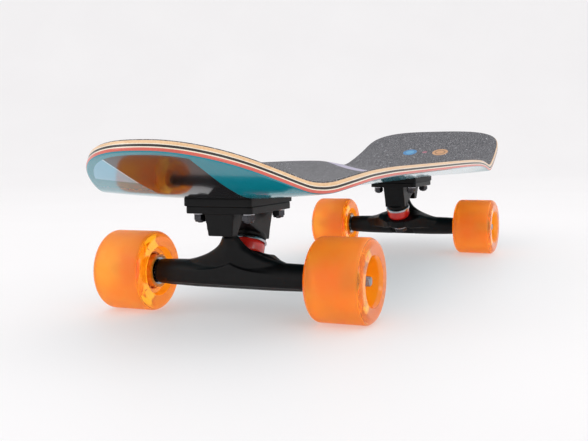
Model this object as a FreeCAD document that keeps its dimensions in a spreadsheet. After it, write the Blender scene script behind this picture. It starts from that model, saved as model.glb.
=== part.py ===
import FreeCAD, Part
import math
import os
import Sketcher  # noqa: F401  (registers the sketch object type)
from FreeCAD import Placement, Rotation, Vector

# Cruiser skateboard, millimetres.  +X runs along the board towards the nose,
# +Z is up, the wheels stand on Z = 0 and X = 0 is the middle of the overall
# length.  Each truck is described in its own truck frame: origin on the floor
# under its axle, +X towards the board's end, and placed (and for the rear one
# turned 180 degrees about Z) by its Placement.

os.makedirs("parts", exist_ok=True)
doc = FreeCAD.newDocument("cruiser_board")

# ---------------------------------------------------------------- spreadsheet
sheet = doc.addObject("Spreadsheet::Sheet", "Dims")
DIMS = [
    ("wheelbase", 456.8), ("origin_shift", 18.83), ("axle_height", 32.5),
    ("wheel_radius", 32.5), ("wheel_inner", 68.9), ("wheel_outer", 115.4),
    ("lip_radius", 11.25), ("hanger_half", 69.0), ("beam_radius", 11.0),
    ("beam_end_radius", 9.9), ("axle_radius", 3.97), ("axle_half", 112.0),
    ("ring_thick", 1.0), ("ring_outer", 6.0), ("bearing_wide", 7.0),
    ("bearing_outer", 11.0), ("bearing_bore", 4.0), ("race_inner_od", 6.05),
    ("race_outer_id", 9.2), ("ball_radius", 2.0), ("ball_pitch", 7.6),
    ("groove_radius", 2.06), ("spacer_long", 10.0), ("spacer_outer", 5.6),
    ("axle_nut_flat", 12.7), ("axle_nut_thick", 7.4),
    ("kingpin_lean", 24.0), ("kingpin_x", -22.5), ("kingpin_z", 51.0),
    ("kingpin_radius", 4.76), ("kingpin_top", 22.0), ("kingpin_end", -28.4),
    ("kingpin_head_flat", 10.8), ("kingpin_head_thick", 4.0),
    ("seat_level", 11.1), ("bushing_top", 6.6), ("bushing_bottom", -6.2),
    ("bushing_radius", 13.5), ("yoke_thick", 5.0), ("rim_deep", 9.6), ("yoke_radius", 17.0),
    ("yoke_hole", 7.6), ("cone_thick", 8.0), ("cone_radius", 11.5),
    ("cone_small", 9.4), ("washer_thick", 1.2), ("kingpin_nut_flat", 14.0),
    ("kingpin_nut_thick", 7.0),
    ("pivot_x", 16.0), ("pivot_z", 70.5), ("pivot_slope", 39.5),
    ("pivot_ball", 4.2), ("pivot_socket", 4.27), ("pivot_cup_radius", 5.6),
    ("plate_centre", -9.9), ("plate_shift", 0.9), ("plate_long", 73.2), ("plate_wide", 56.8),
    ("plate_thick", 5.6), ("plate_top", 87.7), ("riser_long", 76.2),
    ("riser_wide", 57.8), ("riser_thick", 6.5), ("deck_bottom", 94.2),
    ("deck_thick", 8.0), ("rail_top", 115.3), ("grip_thick", 0.9),
    ("bolt_long", 53.98), ("bolt_wide", 41.3), ("bolt_radius", 2.4),
    ("bolt_hole", 2.6), ("bolt_head", 4.7), ("bolt_low", 74.6),
    ("bolt_nut_flat", 9.5), ("bolt_nut_thick", 5.4),
    ("nose_end", 360.2), ("nose_start", 225.2), ("tail_end", -397.5),
    ("tail_start", -338.2), ("grip_inset", 1.0),
]
for i, (alias, value) in enumerate(DIMS):
    sheet.set("A%d" % (i + 1), alias)
    sheet.set("B%d" % (i + 1), repr(value))
    sheet.setAlias("B%d" % (i + 1), alias)
doc.recompute()


def d(name):
    return float(getattr(sheet, name))


NODES = []  # objects that are written, in order


def node(obj, label):
    obj.Label = label
    NODES.append(obj)
    return obj


def bind(obj, **exprs):
    """Ties properties to spreadsheet expressions; a double underscore is a dot."""
    for prop, expr in exprs.items():
        obj.setExpression(prop.replace("__", "."), expr)
    return obj


def prim(kind, name, **exprs):
    return bind(doc.addObject("Part::" + kind, name), **exprs)


def group(kind, name, items):
    if kind == "Cut":
        o = doc.addObject("Part::Cut", name)
        o.Base, o.Tool = items
    elif kind == "Common":
        o = doc.addObject("Part::MultiCommon", name)
        o.Shapes = items
    elif kind == "Compound":
        o = doc.addObject("Part::Compound", name)
        o.Links = items
    else:
        o = doc.addObject("Part::MultiFuse", name)
        o.Shapes = items
    return o


def plane_of(body, role):
    for f in body.Origin.OriginFeatures:
        if getattr(f, "Role", "") == role:
            return f
    raise RuntimeError("no plane " + role)


def poly_sketch(body, name, pts, plane="XZ_Plane"):
    """A closed outline whose corners are tied to the sheet.  Each point is
    (x, y) as numbers or expression strings; zero pins it to that axis.  A third
    entry (cx, cy) makes the segment that leaves the point an arc whose bulge
    passes through that via point, given as numbers."""
    sk = body.newObject("Sketcher::SketchObject", name)
    sk.AttachmentSupport = (plane_of(body, plane), [""])
    sk.MapMode = "FlatFace"
    sheet_values = {a: v for a, v in DIMS}

    def val(e):
        return float(e) if not isinstance(e, str) else sum_of(e, sheet_values)

    xy = [Vector(val(p[0]), val(p[1]), 0) for p in pts]
    n = len(xy)
    for i in range(n):
        sk.addGeometry(Part.LineSegment(xy[i], xy[(i + 1) % n]), False)
    for i in range(n):
        sk.addConstraint(Sketcher.Constraint("Coincident", i, 2, (i + 1) % n, 1))
    for i, p in enumerate(pts):
        for axis, e, v in (("X", p[0], xy[i].x), ("Y", p[1], xy[i].y)):
            if e == 0:
                sk.addConstraint(Sketcher.Constraint(
                    "PointOnObject", i, 1, -2 if axis == "X" else -1))
                continue
            c = sk.addConstraint(
                Sketcher.Constraint("Distance" + axis, -1, 1, i, 1, v))
            if isinstance(e, str):
                sk.setExpression("Constraints[%d]" % c, e)
    return sk


def sum_of(text, values):
    """Works out the few sums used in sketch corners, term by term."""
    total, sign, word = 0.0, 1.0, ""
    for part in text.replace("-", " - ").replace("+", " + ").split():
        if part in "+-":
            sign = 1.0 if part == "+" else -1.0
            continue
        value = 1.0
        op = "*"
        for tok in part.replace("*", " * ").replace("/", " / ").split():
            if tok in "*/":
                op = tok
                continue
            v = values[tok[5:]] if tok.startswith("Dims.") else float(tok)
            value = value * v if op == "*" else value / v
        total += sign * value
        sign = 1.0
    return total


def revolved(name, pts):
    """A body of revolution about its own Z axis: points are (radius, height)."""
    body = doc.addObject("PartDesign::Body", name)
    sk = poly_sketch(body, name + "_profile", pts)
    rev = body.newObject("PartDesign::Revolution", name + "_turned")
    rev.Profile = sk
    rev.ReferenceAxis = (sk, ["V_Axis"])
    rev.Angle = 360.0
    body.Tip = rev
    return body


def padded(name, pts, length, plane="XY_Plane", midplane=True):
    body = doc.addObject("PartDesign::Body", name)
    sk = poly_sketch(body, name + "_outline", pts, plane)
    pad = body.newObject("PartDesign::Pad", name + "_pad")
    pad.Profile = sk
    if isinstance(length, str):
        pad.setExpression("Length", length)
    else:
        pad.Length = length
    pad.Midplane = midplane
    body.Tip = pad
    return body


def hexagon(flat):
    """Corner list of a hexagon whose width across flats is an expression."""
    a = []
    for k in range(6):
        t = math.radians(60 * k + 30)
        cx, cy = math.cos(t) / math.sqrt(3), math.sin(t) / math.sqrt(3)
        a.append(("%s*%.8f" % (flat, cx) if abs(cx) > 1e-9 else 0,
                  "%s*%.8f" % (flat, cy) if abs(cy) > 1e-9 else 0))
    return a


ENDS = (("front", 1), ("rear", -1))
SIDES = (("left", 1), ("right", -1))


def at_truck(obj, s, x="0", z="0"):
    """Places an object built in truck coordinates."""
    bind(obj, Placement__Base__x="Dims.origin_shift + (%d)*(Dims.wheelbase/2 + %s)"
         % (s, x), Placement__Base__z=z)
    obj.Placement.Rotation = Rotation(Vector(0, 0, 1), 0 if s > 0 else 180)
    return obj


def on_kingpin(obj, s):
    """Local Z becomes the kingpin's axis, pointing up through the baseplate.
    A piece of revolution (or a hexagon) looks the same from both trucks."""
    bind(obj, Placement__Base__x="Dims.origin_shift + (%d)*(Dims.wheelbase/2 + Dims.kingpin_x)" % s,
         Placement__Base__z="Dims.kingpin_z")
    obj.Placement.Rotation = Rotation(Vector(0, -s, 0), d("kingpin_lean"))
    bind(obj, Placement__Rotation__Angle="Dims.kingpin_lean")
    return obj


def on_axle(obj, s, side):
    """Local Z becomes the axle, pointing out from the truck's middle."""
    bind(obj, Placement__Base__x="Dims.origin_shift + (%d)*Dims.wheelbase/2" % s,
         Placement__Base__z="Dims.axle_height")
    obj.Placement.Rotation = Rotation(Vector(1, 0, 0), -90 * side)
    return obj


def along_y(name, r, y0, y1):
    """A plain cylinder along truck Y at axle height."""
    c = prim("Cylinder", name, Radius=r, Height="%s - (%s)" % (y1, y0),
             Placement__Base__y=y0, Placement__Base__z="Dims.axle_height")
    c.Placement.Rotation = Rotation(Vector(1, 0, 0), -90)
    return c


# kingpin frame in truck coordinates, for the pieces cut by it
LEAN = math.radians(d("kingpin_lean"))
KUP = Vector(-math.sin(LEAN), 0, math.cos(LEAN))       # along the kingpin, up
KOUT = Vector(math.cos(LEAN), 0, math.sin(LEAN))       # across it, outward
K0 = Vector(d("kingpin_x"), 0, d("kingpin_z"))
SLOPE = math.radians(d("pivot_slope"))
PAX = Vector(math.cos(SLOPE), 0, math.sin(SLOPE))      # pivot axis, outward
P0 = Vector(d("pivot_x"), 0, d("pivot_z"))


def kpoint(t, y, level):
    return K0 + KOUT * t + Vector(0, y, 0) + KUP * level


def kcyl(radius, low, high):
    return Part.makeCylinder(radius, high - low, K0 + KUP * low, KUP)


# ------------------------------------------------------------- deck laminate
HALF = [(-400, 90.29), (-350, 94.3), (-300, 98.01), (-250, 100.95),
        (-200, 103.1), (-150, 104.73), (-100, 105.83), (-50, 106.2),
        (0, 105.78), (50, 104.9), (100, 103.89), (150, 102.74),
        (200, 101.26), (250, 99.55), (300, 98.06), (350, 96.97), (400, 96.1)]
KICK = [(-410, 158.6), (-400, 153.4), (-375, 141.6), (-350, 129.7),
        (-325, 119.9), (-305, 112.2), (-290, 107.0), (-275, 103.1),
        (-262, 101.7), (-250, 101.6), (-150, 101.6), (0, 101.6),
        (150, 101.6), (250, 101.6), (262, 102.2), (275, 104.4),
        (290, 108.9), (305, 114.2), (330, 124.5), (360, 137.5), (380, 147.5)]
DISH = [(-410, -3.4), (-400, -3.0), (-360, -1.8), (-330, -0.9),
        (-305, 1.2), (-285, 3.4), (-262, 7.0), (-230, 11.2),
        (-190, 13.4), (-130, 13.9), (0, 13.7), (130, 13.8), (185, 12.6),
        (230, 9.4), (262, 5.6), (285, 3.2), (305, 4.4), (330, 5.8),
        (380, 8.2)]


def pchip(table):
    """Monotone cubic through a table, so that flats stay flat."""
    xs, ys = [p[0] for p in table], [p[1] for p in table]
    n = len(xs)
    hs = [xs[i + 1] - xs[i] for i in range(n - 1)]
    dl = [(ys[i + 1] - ys[i]) / hs[i] for i in range(n - 1)]
    m = [dl[0]] + [0.0] * (n - 2) + [dl[-1]]
    for i in range(1, n - 1):
        if dl[i - 1] * dl[i] > 0:
            w1, w2 = 2 * hs[i] + hs[i - 1], hs[i] + 2 * hs[i - 1]
            m[i] = (w1 + w2) / (w1 / dl[i - 1] + w2 / dl[i])

    def f(x):
        i = 0
        while i < n - 2 and x > xs[i + 1]:
            i += 1
        u = (x - xs[i]) / hs[i]
        return (ys[i] * (1 + 2 * u) * (1 - u) ** 2 + hs[i] * m[i] * u * (1 - u) ** 2
                + ys[i + 1] * u * u * (3 - 2 * u) + hs[i] * m[i + 1] * u * u * (u - 1))

    return f


half_at, kick_at, dish_at = pchip(HALF), pchip(KICK), pchip(DISH)
RAIL = d("rail_top") - 101.6
THICK = d("deck_thick")


def top_z(x, y):
    return kick_at(x) + dish_at(x) * RAIL / 13.7 * (abs(y) / 105.0) ** 2.2


def normal(x, y):
    e = 0.5
    n = Vector(-(top_z(x + e, y) - top_z(x - e, y)) / (2 * e),
               -(top_z(x, y + e) - top_z(x, y - e)) / (2 * e), 1)
    return n.normalize()


def level_face(drop):
    """The top skin moved down by drop along its normal, as one face."""
    rows = []
    for i in range(46):
        x = -412 + (384 + 412) * i / 45.0
        row = []
        for k in range(19):
            y = -118 + 236 * k / 18.0
            row.append(Vector(x, y, top_z(x, y) - drop / normal(x, y).z))
        rows.append(row)
    s = Part.BSplineSurface()
    s.interpolate(rows)
    return s.toShape()


def outline(inset):
    """Plan outline as (x, y) points, one loop, tail first."""
    ne, te = d("nose_end") - inset, d("tail_end") + inset
    ns, ts = d("nose_start"), d("tail_start")
    pts = []
    for i in range(1, 16):                       # tail, from its middle out
        a = math.pi / 2 * (1 - i / 15.0)
        u = math.sin(a) ** (2 / 3.77)
        x = ts + (te - ts) * u
        pts.append((x, (half_at(x) - inset) * math.cos(a) ** (2 / 3.9)))
    for i in range(1, 22):                       # side
        x = ts + (ns - ts) * i / 22.0
        pts.append((x, half_at(x) - inset))
    for i in range(0, 18):                       # nose, out to its tip
        a = math.pi / 2 * i / 18.0
        u = math.sin(a) ** (2 / 1.5)
        x = ns + (ne - ns) * u
        pts.append((x, (half_at(x) - inset) * math.cos(a) ** (2 / 2.4)))
    loop = [(te, 0.0)] + pts + [(ne, 0.0)] + [(x, -y) for x, y in reversed(pts)]
    return loop


def cutter(inset):
    """A solid whose walls stand square to the deck's skin along its outline."""
    low, high = [], []
    for x, y in outline(inset):
        n, z = normal(x, y), top_z(x, y)
        low.append(Vector(x + n.x / n.z * (70 - z), y + n.y / n.z * (70 - z), 70))
        high.append(Vector(x + n.x / n.z * (175 - z), y + n.y / n.z * (175 - z), 175))
    wires = []
    for pts in (low, high):
        c = Part.BSplineCurve()
        c.interpolate(Points=pts, PeriodicFlag=True)
        wires.append(Part.Wire([c.toShape()]))
    return Part.makeLoft(wires, True, True)


def slab(face):
    return face.extrude(Vector(0, 0, -110))


def half_box(level):
    return Part.makeBox(544, 210, level - 20, Vector(-272, -105, 20))


def sheet_between(cut, upper, upper_flat, lower, lower_flat):
    """What lies in cut, under max(upper skin, flat) and over max(lower, flat)."""
    a = cut.common(slab(upper))
    b = cut.common(half_box(upper_flat))
    return a.fuse(b).cut(slab(lower)).cut(half_box(lower_flat)).removeSplitter()


FLAT = d("deck_bottom") + THICK
# the boards' skins cross the flat middle strip 0.6 below its level, so the
# strip between the rails is a true plane
skin_top, skin_low = level_face(0.0), level_face(THICK)
skin_grip = level_face(-d("grip_thick"))
deck_raw = sheet_between(cutter(0.0), skin_top, FLAT, skin_low, d("deck_bottom"))
grip_raw = sheet_between(cutter(d("grip_inset")), skin_grip, FLAT + d("grip_thick"),
                         skin_top, FLAT)

BOLTS = [(sx, d("wheelbase") / 2 * s + s * (d("plate_centre") + sx * d("bolt_long") / 2),
          sy * d("bolt_wide") / 2)
         for s in (1, -1) for sx in (1, -1) for sy in (1, -1)]
SHIFT = Vector(d("origin_shift"), 0, 0)


def feature(name, shape, shift=SHIFT):
    o = doc.addObject("Part::Feature", name)
    o.Shape = shape
    o.Placement = Placement(shift, Rotation())
    return o


def bolt_set(prefix, maker):
    """One object for each of the eight deck bolts, placed from the sheet."""
    made = []
    for s in (1, -1):
        for sx in (1, -1):
            for sy in (1, -1):
                o = maker("%s_%d%d%d" % (prefix, s + 1, sx + 1, sy + 1))
                bind(o, Placement__Base__x="Dims.origin_shift + (%d)*(Dims.wheelbase/2 + Dims.plate_centre + (%d)*Dims.bolt_long/2)" % (s, sx),
                     Placement__Base__y="(%d)*Dims.bolt_wide/2" % sy)
                made.append(o)
    return made


def drill(prefix, radius, low, high):
    return bolt_set(prefix, lambda n: prim(
        "Cylinder", n, Radius=radius, Height="%s - (%s)" % (high, low),
        Placement__Base__z=low))


deck_holes = group("Fuse", "deck_holes", drill(
    "deck_hole", "Dims.bolt_hole", "Dims.deck_bottom - 5",
    "Dims.deck_bottom + Dims.deck_thick + 5"))
sinks = group("Fuse", "deck_sinks", bolt_set("deck_sink", lambda n: prim(
    "Cone", n, Radius1="Dims.bolt_hole - 0.1", Radius2="Dims.bolt_head + 0.25",
    Height="Dims.bolt_head - Dims.bolt_radius",
    Placement__Base__z="Dims.deck_bottom + Dims.deck_thick - Dims.bolt_head + Dims.bolt_radius + 0.02")))
deck = group("Cut", "deck", [feature("deck_laminate", deck_raw),
                             group("Fuse", "deck_drill", [deck_holes, sinks])])
node(deck, "deck")

grip = group("Cut", "grip", [feature("grip_sheet", grip_raw), group(
    "Fuse", "grip_holes", drill("grip_hole", "Dims.bolt_head + 0.2",
                                "Dims.deck_bottom + Dims.deck_thick - 1",
                                "Dims.deck_bottom + Dims.deck_thick + 3"))])
node(grip, "grip_tape")

# ------------------------------------------------------------ deck fasteners
TOP = "Dims.deck_bottom + Dims.deck_thick"


def deck_bolt(name):
    """Countersunk bolt: head flush with the wood, shank down past its nut."""
    low = "Dims.bolt_low - Dims.deck_bottom - Dims.deck_thick"
    return bind(revolved(name, [
        (0, low), ("Dims.bolt_radius", low),
        ("Dims.bolt_radius", "Dims.bolt_radius - Dims.bolt_head"),
        ("Dims.bolt_head - 0.3", "0 - 0.35"), ("Dims.bolt_head - 0.3", "0 - 0.05"),
        (0, "0 - 0.05")]), Placement__Base__z=TOP)


node(group("Compound", "bolts", bolt_set("bolt", deck_bolt)), "mounting_bolts")


def deck_nut(name):
    body = padded(name, hexagon("Dims.bolt_nut_flat"), "Dims.bolt_nut_thick",
                  midplane=False)
    return bind(body, Placement__Base__z="Dims.plate_top - Dims.plate_thick - Dims.bolt_nut_thick")


nut_holes = group("Fuse", "nut_holes", drill(
    "nut_hole", "Dims.bolt_radius + 0.03", "Dims.plate_top - 30", "Dims.plate_top"))
node(group("Cut", "nuts", [group("Fuse", "nut_blanks", bolt_set("nut", deck_nut)),
                           nut_holes]), "mounting_nuts")

# --------------------------------------------------------- risers, baseplates


def rounded_plate(name, long, wide, radius, thick):
    """A plate with rounded corners, standing on Z = 0, centred in plan."""
    body = doc.addObject("PartDesign::Body", name)
    sk = poly_sketch(body, name + "_outline", [
        ("%s/2" % long, "%s/2" % wide), ("0 - %s/2" % long, "%s/2" % wide),
        ("0 - %s/2" % long, "0 - %s/2" % wide), ("%s/2" % long, "0 - %s/2" % wide)],
        "XY_Plane")
    pad = body.newObject("PartDesign::Pad", name + "_pad")
    pad.Profile = sk
    pad.setExpression("Length", thick)
    doc.recompute()
    upright = ["Edge%d" % (i + 1) for i, e in enumerate(pad.Shape.Edges)
               if abs(e.tangentAt(e.FirstParameter).z) > 0.9]
    fil = body.newObject("PartDesign::Fillet", name + "_corners")
    fil.Base = (pad, upright)
    fil.Radius = radius
    body.Tip = fil
    return body


def plate_drill(prefix, s, radius, low, high):
    made = []
    for sx in (1, -1):
        for sy in (1, -1):
            made.append(prim(
                "Cylinder", "%s_%d%d" % (prefix, sx + 1, sy + 1), Radius=radius,
                Height="%s - (%s)" % (high, low), Placement__Base__z=low,
                Placement__Base__x="Dims.plate_centre + (%d)*Dims.bolt_long/2" % sx,
                Placement__Base__y="(%d)*Dims.bolt_wide/2" % sy))
    return made


for end, s in ENDS:
    riser = rounded_plate(end + "_pad", "Dims.riser_long", "Dims.riser_wide", 2.6,
                          "Dims.riser_thick")
    bind(riser, Placement__Base__x="Dims.plate_centre + Dims.plate_shift", Placement__Base__z="Dims.plate_top")
    cut = group("Cut", end + "_pad_drilled", [riser, group(
        "Fuse", end + "_pad_holes", plate_drill(
            end + "_pad_hole", s, "Dims.bolt_hole + 0.2", "Dims.plate_top - 1",
            "Dims.deck_bottom + 1"))])
    at_truck(cut, s)
    node(cut, end + "_riser_pad")

# side outline of the baseplate's casting below its flange, truck X and Z
LOW = d("plate_top") - d("plate_thick")
seat_mid = K0 + KUP * d("seat_level")


def seat_z(x):
    return seat_mid.z + (x - seat_mid.x) * math.tan(LEAN)


for end, s in ENDS:
    flange = rounded_plate(end + "_flange", "Dims.plate_long", "Dims.plate_wide",
                           3.6, "Dims.plate_thick")
    bind(flange, Placement__Base__x="Dims.plate_centre + Dims.plate_shift",
         Placement__Base__z="Dims.plate_top - Dims.plate_thick")
    # kingpin boss, from the inboard end to the notch between the two bosses
    boss = padded(end + "_boss", [
        (-44.4, LOW + 2), (-43.4, 78.0), (-38.6, 65.4),
        (-36.4, seat_z(-36.4)), (1.4, seat_z(1.4)), (8.5, 78.5), (8.5, LOW + 2)],
        24.8, "XZ_Plane")
    # pivot housing, drawn in towards its lower end
    housing = prim("Wedge", end + "_housing")
    housing.Ymin, housing.Ymax = 0, LOW + 2 - 64.9
    housing.X2min, housing.X2max, housing.Z2min, housing.Z2max = -12.6, 12.6, 0, 20.4
    housing.Xmin, housing.Xmax = -10.2, 10.2
    housing.Zmin, housing.Zmax = 9.4, 18.6
    housing.Placement = Placement(Vector(5.6, 0, 64.9), Rotation(
        Vector(0, 1, 0), Vector(0, 0, 1), Vector(1, 0, 0), "XYZ"))
    seat = prim("Cylinder", end + "_seat", Radius="Dims.bushing_radius - 0.4",
                Height="3.6")
    seat.Placement = Placement(K0 + KUP * (d("seat_level") - 2.6),
                               Rotation(Vector(0, -1, 0), d("kingpin_lean")))
    blank = group("Fuse", end + "_plate_blank", [flange, boss, housing, seat])
    pin_bore = prim("Cylinder", end + "_pin_bore", Radius="Dims.kingpin_radius + 0.05",
                    Height="60")
    # the head sits in a short seat under a straight recess from the top
    head_bore = prim("Cylinder", end + "_head_bore",
                     Radius="Dims.kingpin_head_flat/2/0.8660254 + 0.3", Height="6")
    head_room = prim("Cylinder", end + "_head_room",
                     Radius="Dims.kingpin_head_flat/2/0.8660254 + 0.5",
                     Height="Dims.plate_top + 2 - 73.6", Placement__Base__x="0-34.0",
                     Placement__Base__z="73.6")
    for o, level in ((pin_bore, 0.0), (head_bore, d("kingpin_top"))):
        o.Placement = Placement(K0 + KUP * level,
                                Rotation(Vector(0, -1, 0), d("kingpin_lean")))
    cup_bore = prim("Cylinder", end + "_cup_bore", Radius="Dims.pivot_cup_radius + 0.05",
                    Height="30")
    cup_bore.Placement = Placement(P0 - PAX * (30 - 5.25),
                                   Rotation(Vector(0, 1, 0), 90 - d("pivot_slope")))
    cut = group("Cut", end + "_plate_cut", [blank, group(
        "Fuse", end + "_plate_tools", [pin_bore, head_bore, head_room, cup_bore] + plate_drill(
            end + "_plate_hole", s, "Dims.bolt_hole", "Dims.plate_top - 20",
            "Dims.plate_top + 1"))])
    at_truck(cut, s)
    node(cut, end + "_baseplate")

    # flexible cup that lines the pivot housing
    cup = revolved(end + "_cup_blank", [
        (0, "0 - 4.6"), ("Dims.pivot_cup_radius", "0 - 4.6"),
        ("Dims.pivot_cup_radius", 5.2), (0, 5.2)])
    ball = prim("Sphere", end + "_cup_ball", Radius="Dims.pivot_socket")
    mouth = prim("Cylinder", end + "_cup_mouth", Radius="Dims.pivot_socket", Height="20",
                 Placement__Base__z="0-20")
    cup = group("Cut", end + "_cup_socket", [cup, group(
        "Fuse", end + "_cup_void", [ball, mouth])])
    cup.Placement = Placement(P0, Rotation(Vector(0, 1, 0), 90 - d("pivot_slope")))
    keep = prim("Box", end + "_cup_keep", Length="60", Width="60", Height="30")
    keep.Placement.Base = Vector(-30, -30, 65.4)
    cup = group("Common", end + "_cup_trim", [cup, keep])
    at_truck(cup, s)
    node(cup, end + "_pivot_cup")

# ------------------------------------------------------- kingpins and bushings
for end, s in ENDS:
    pin = revolved(end + "_kingpin_shank", [
        (0, "Dims.kingpin_end"), ("Dims.kingpin_radius - 0.7", "Dims.kingpin_end"),
        ("Dims.kingpin_radius", "Dims.kingpin_end + 0.7"),
        ("Dims.kingpin_radius", "Dims.kingpin_top + 1"), (0, "Dims.kingpin_top + 1")])
    head = padded(end + "_kingpin_head", hexagon("Dims.kingpin_head_flat"),
                  "Dims.kingpin_head_thick", midplane=False)
    bind(head, Placement__Base__z="Dims.kingpin_top")
    node(on_kingpin(group("Fuse", end + "_kingpin_all", [pin, head]), s), end + "_kingpin")

    nut = padded(end + "_kingpin_nut_blank", hexagon("Dims.kingpin_nut_flat"),
                 "Dims.kingpin_nut_thick", midplane=False)
    bind(nut, Placement__Base__z="Dims.bushing_bottom - Dims.yoke_thick - Dims.cone_thick - Dims.washer_thick - Dims.kingpin_nut_thick")
    hole = prim("Cylinder", end + "_kingpin_nut_hole", Radius="Dims.kingpin_radius + 0.03",
                Height="60", Placement__Base__z="0-50")
    node(on_kingpin(group("Cut", end + "_kingpin_nut_cut", [nut, hole]), s),
         end + "_kingpin_nut")

    bore = "Dims.kingpin_radius + 0.1"
    upper = revolved(end + "_upper_bushing_turned", [
        (bore, "Dims.bushing_bottom + 0.05"), ("Dims.bushing_radius - 1.2", "Dims.bushing_bottom + 0.05"),
        ("Dims.bushing_radius - 0.3", "Dims.bushing_bottom + 1.4"),
        ("Dims.bushing_radius", "Dims.bushing_bottom + 4.2"),
        ("Dims.bushing_radius", "Dims.bushing_top - 3.6"),
        ("Dims.bushing_radius - 1.1", "Dims.bushing_top - 0.6"),
        ("Dims.bushing_radius - 1.8", "Dims.bushing_top"), (bore, "Dims.bushing_top")])
    node(on_kingpin(upper, s), end + "_upper_bushing")

    base = "Dims.bushing_bottom - Dims.yoke_thick"
    lower = revolved(end + "_lower_bushing_turned", [
        (bore, base + " - 0.05"), ("Dims.cone_radius - 0.6", base + " - 0.05"),
        ("Dims.cone_radius", base + " - 0.9"), ("Dims.cone_radius - 0.2", base + " - 3"),
        ("Dims.cone_small + 0.2", base + " - Dims.cone_thick + 0.8"),
        ("Dims.cone_small - 0.4", base + " - Dims.cone_thick"),
        (bore, base + " - Dims.cone_thick")])
    node(on_kingpin(lower, s), end + "_lower_bushing")

    # cupped washer over the upper bushing, flat one under the lower
    cupped = revolved(end + "_cupped_washer", [
        (bore, "Dims.bushing_top"), ("Dims.bushing_radius - 1.5", "Dims.bushing_top"),
        ("Dims.bushing_radius - 0.6", "Dims.bushing_top - 0.5"),
        ("Dims.bushing_radius + 0.05", "Dims.bushing_top - 1.8"),
        ("Dims.bushing_radius + 0.9", "Dims.bushing_top - 1.8"),
        ("Dims.bushing_radius + 0.4", "Dims.bushing_top + 0.3"),
        ("Dims.bushing_radius - 0.6", "Dims.bushing_top + 1.3"),
        (bore, "Dims.bushing_top + 1.3")])
    flat = revolved(end + "_flat_washer", [
        (bore, base + " - Dims.cone_thick - Dims.washer_thick"),
        ("Dims.cone_small", base + " - Dims.cone_thick - Dims.washer_thick"),
        ("Dims.cone_small", base + " - Dims.cone_thick"),
        (bore, base + " - Dims.cone_thick")])
    node(on_kingpin(group("Compound", end + "_washers", [cupped, flat]), s),
         end + "_bushing_washers")

# -------------------------------------------------------------------- hangers


def ellipse_wire(cx, rx, ry, z, power=2.0):
    pts = []
    for i in range(28):
        a = 2 * math.pi * i / 28
        c, q = math.cos(a), math.sin(a)
        e = 2.0 / power
        pts.append(Vector(cx + rx * math.copysign(abs(c) ** e, c),
                          ry * math.copysign(abs(q) ** e, q), z))
    c = Part.BSplineCurve()
    c.interpolate(Points=pts, PeriodicFlag=True)
    return Part.Wire([c.toShape()])


def web_shape():
    """The casting that rises from the beam to the pivot's neck: wide and low at
    the beam, drawn in to a round neck at the housing."""
    rows = [  # level, back X, front X, half width, squareness
        (34.0, -9.6, 8.6, 57.0, 2.6), (39.0, -9.2, 8.8, 50.0, 2.5),
        (42.6, -8.2, 9.4, 41.0, 2.4), (45.6, -7.0, 10.2, 32.5, 2.3),
        (48.9, -5.2, 11.2, 23.4, 2.2), (52.4, -3.6, 12.2, 16.6, 2.1),
        (55.6, -2.6, 13.0, 12.0, 2.0), (59.4, -1.6, 14.4, 8.4, 2.0),
        (62.6, -0.4, 15.6, 6.2, 2.0), (64.4, 0.6, 16.1, 5.4, 2.0)]
    wires = [ellipse_wire((b + f) / 2, (f - b) / 2, w, z, p)
             for z, b, f, w, p in rows]
    return Part.makeLoft(wires, True, False)


def neck_shape():
    """Pivot pin: ball, throat and cone, all round the pivot's axis, so that it
    turns freely in the cup.  Measured down from the ball's centre."""
    ball, throat, neck_r, last = d("pivot_ball"), 3.6, 5.3, -12.2
    h45 = math.sqrt(0.5)
    edges = [Part.Arc(Vector(0, 0, ball), Vector(ball * h45, 0, ball * h45),
                      Vector(ball, 0, 0)).toShape()]
    rest = [Vector(ball, 0, 0), Vector(ball, 0, -0.8), Vector(throat, 0, -2.6),
            Vector(throat, 0, -4.6), Vector(5.1, 0, -7.0), Vector(neck_r, 0, -8.6),
            Vector(neck_r, 0, last)]
    for a, b in zip(rest, rest[1:]):
        edges.append(Part.LineSegment(a, b).toShape())
    edges.append(Part.Arc(Vector(neck_r, 0, last),
                          Vector(neck_r * h45, 0, last - neck_r * h45),
                          Vector(0, 0, last - neck_r)).toShape())
    edges.append(Part.LineSegment(Vector(0, 0, last - neck_r),
                                  Vector(0, 0, ball)).toShape())
    face = Part.Face(Part.Wire(Part.__sortEdges__(edges)))
    solid = face.revolve(Vector(0, 0, 0), Vector(0, 0, 1), 360)
    solid.Placement = Placement(P0, Rotation(Vector(0, 1, 0), 90 - d("pivot_slope")))
    return solid


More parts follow.
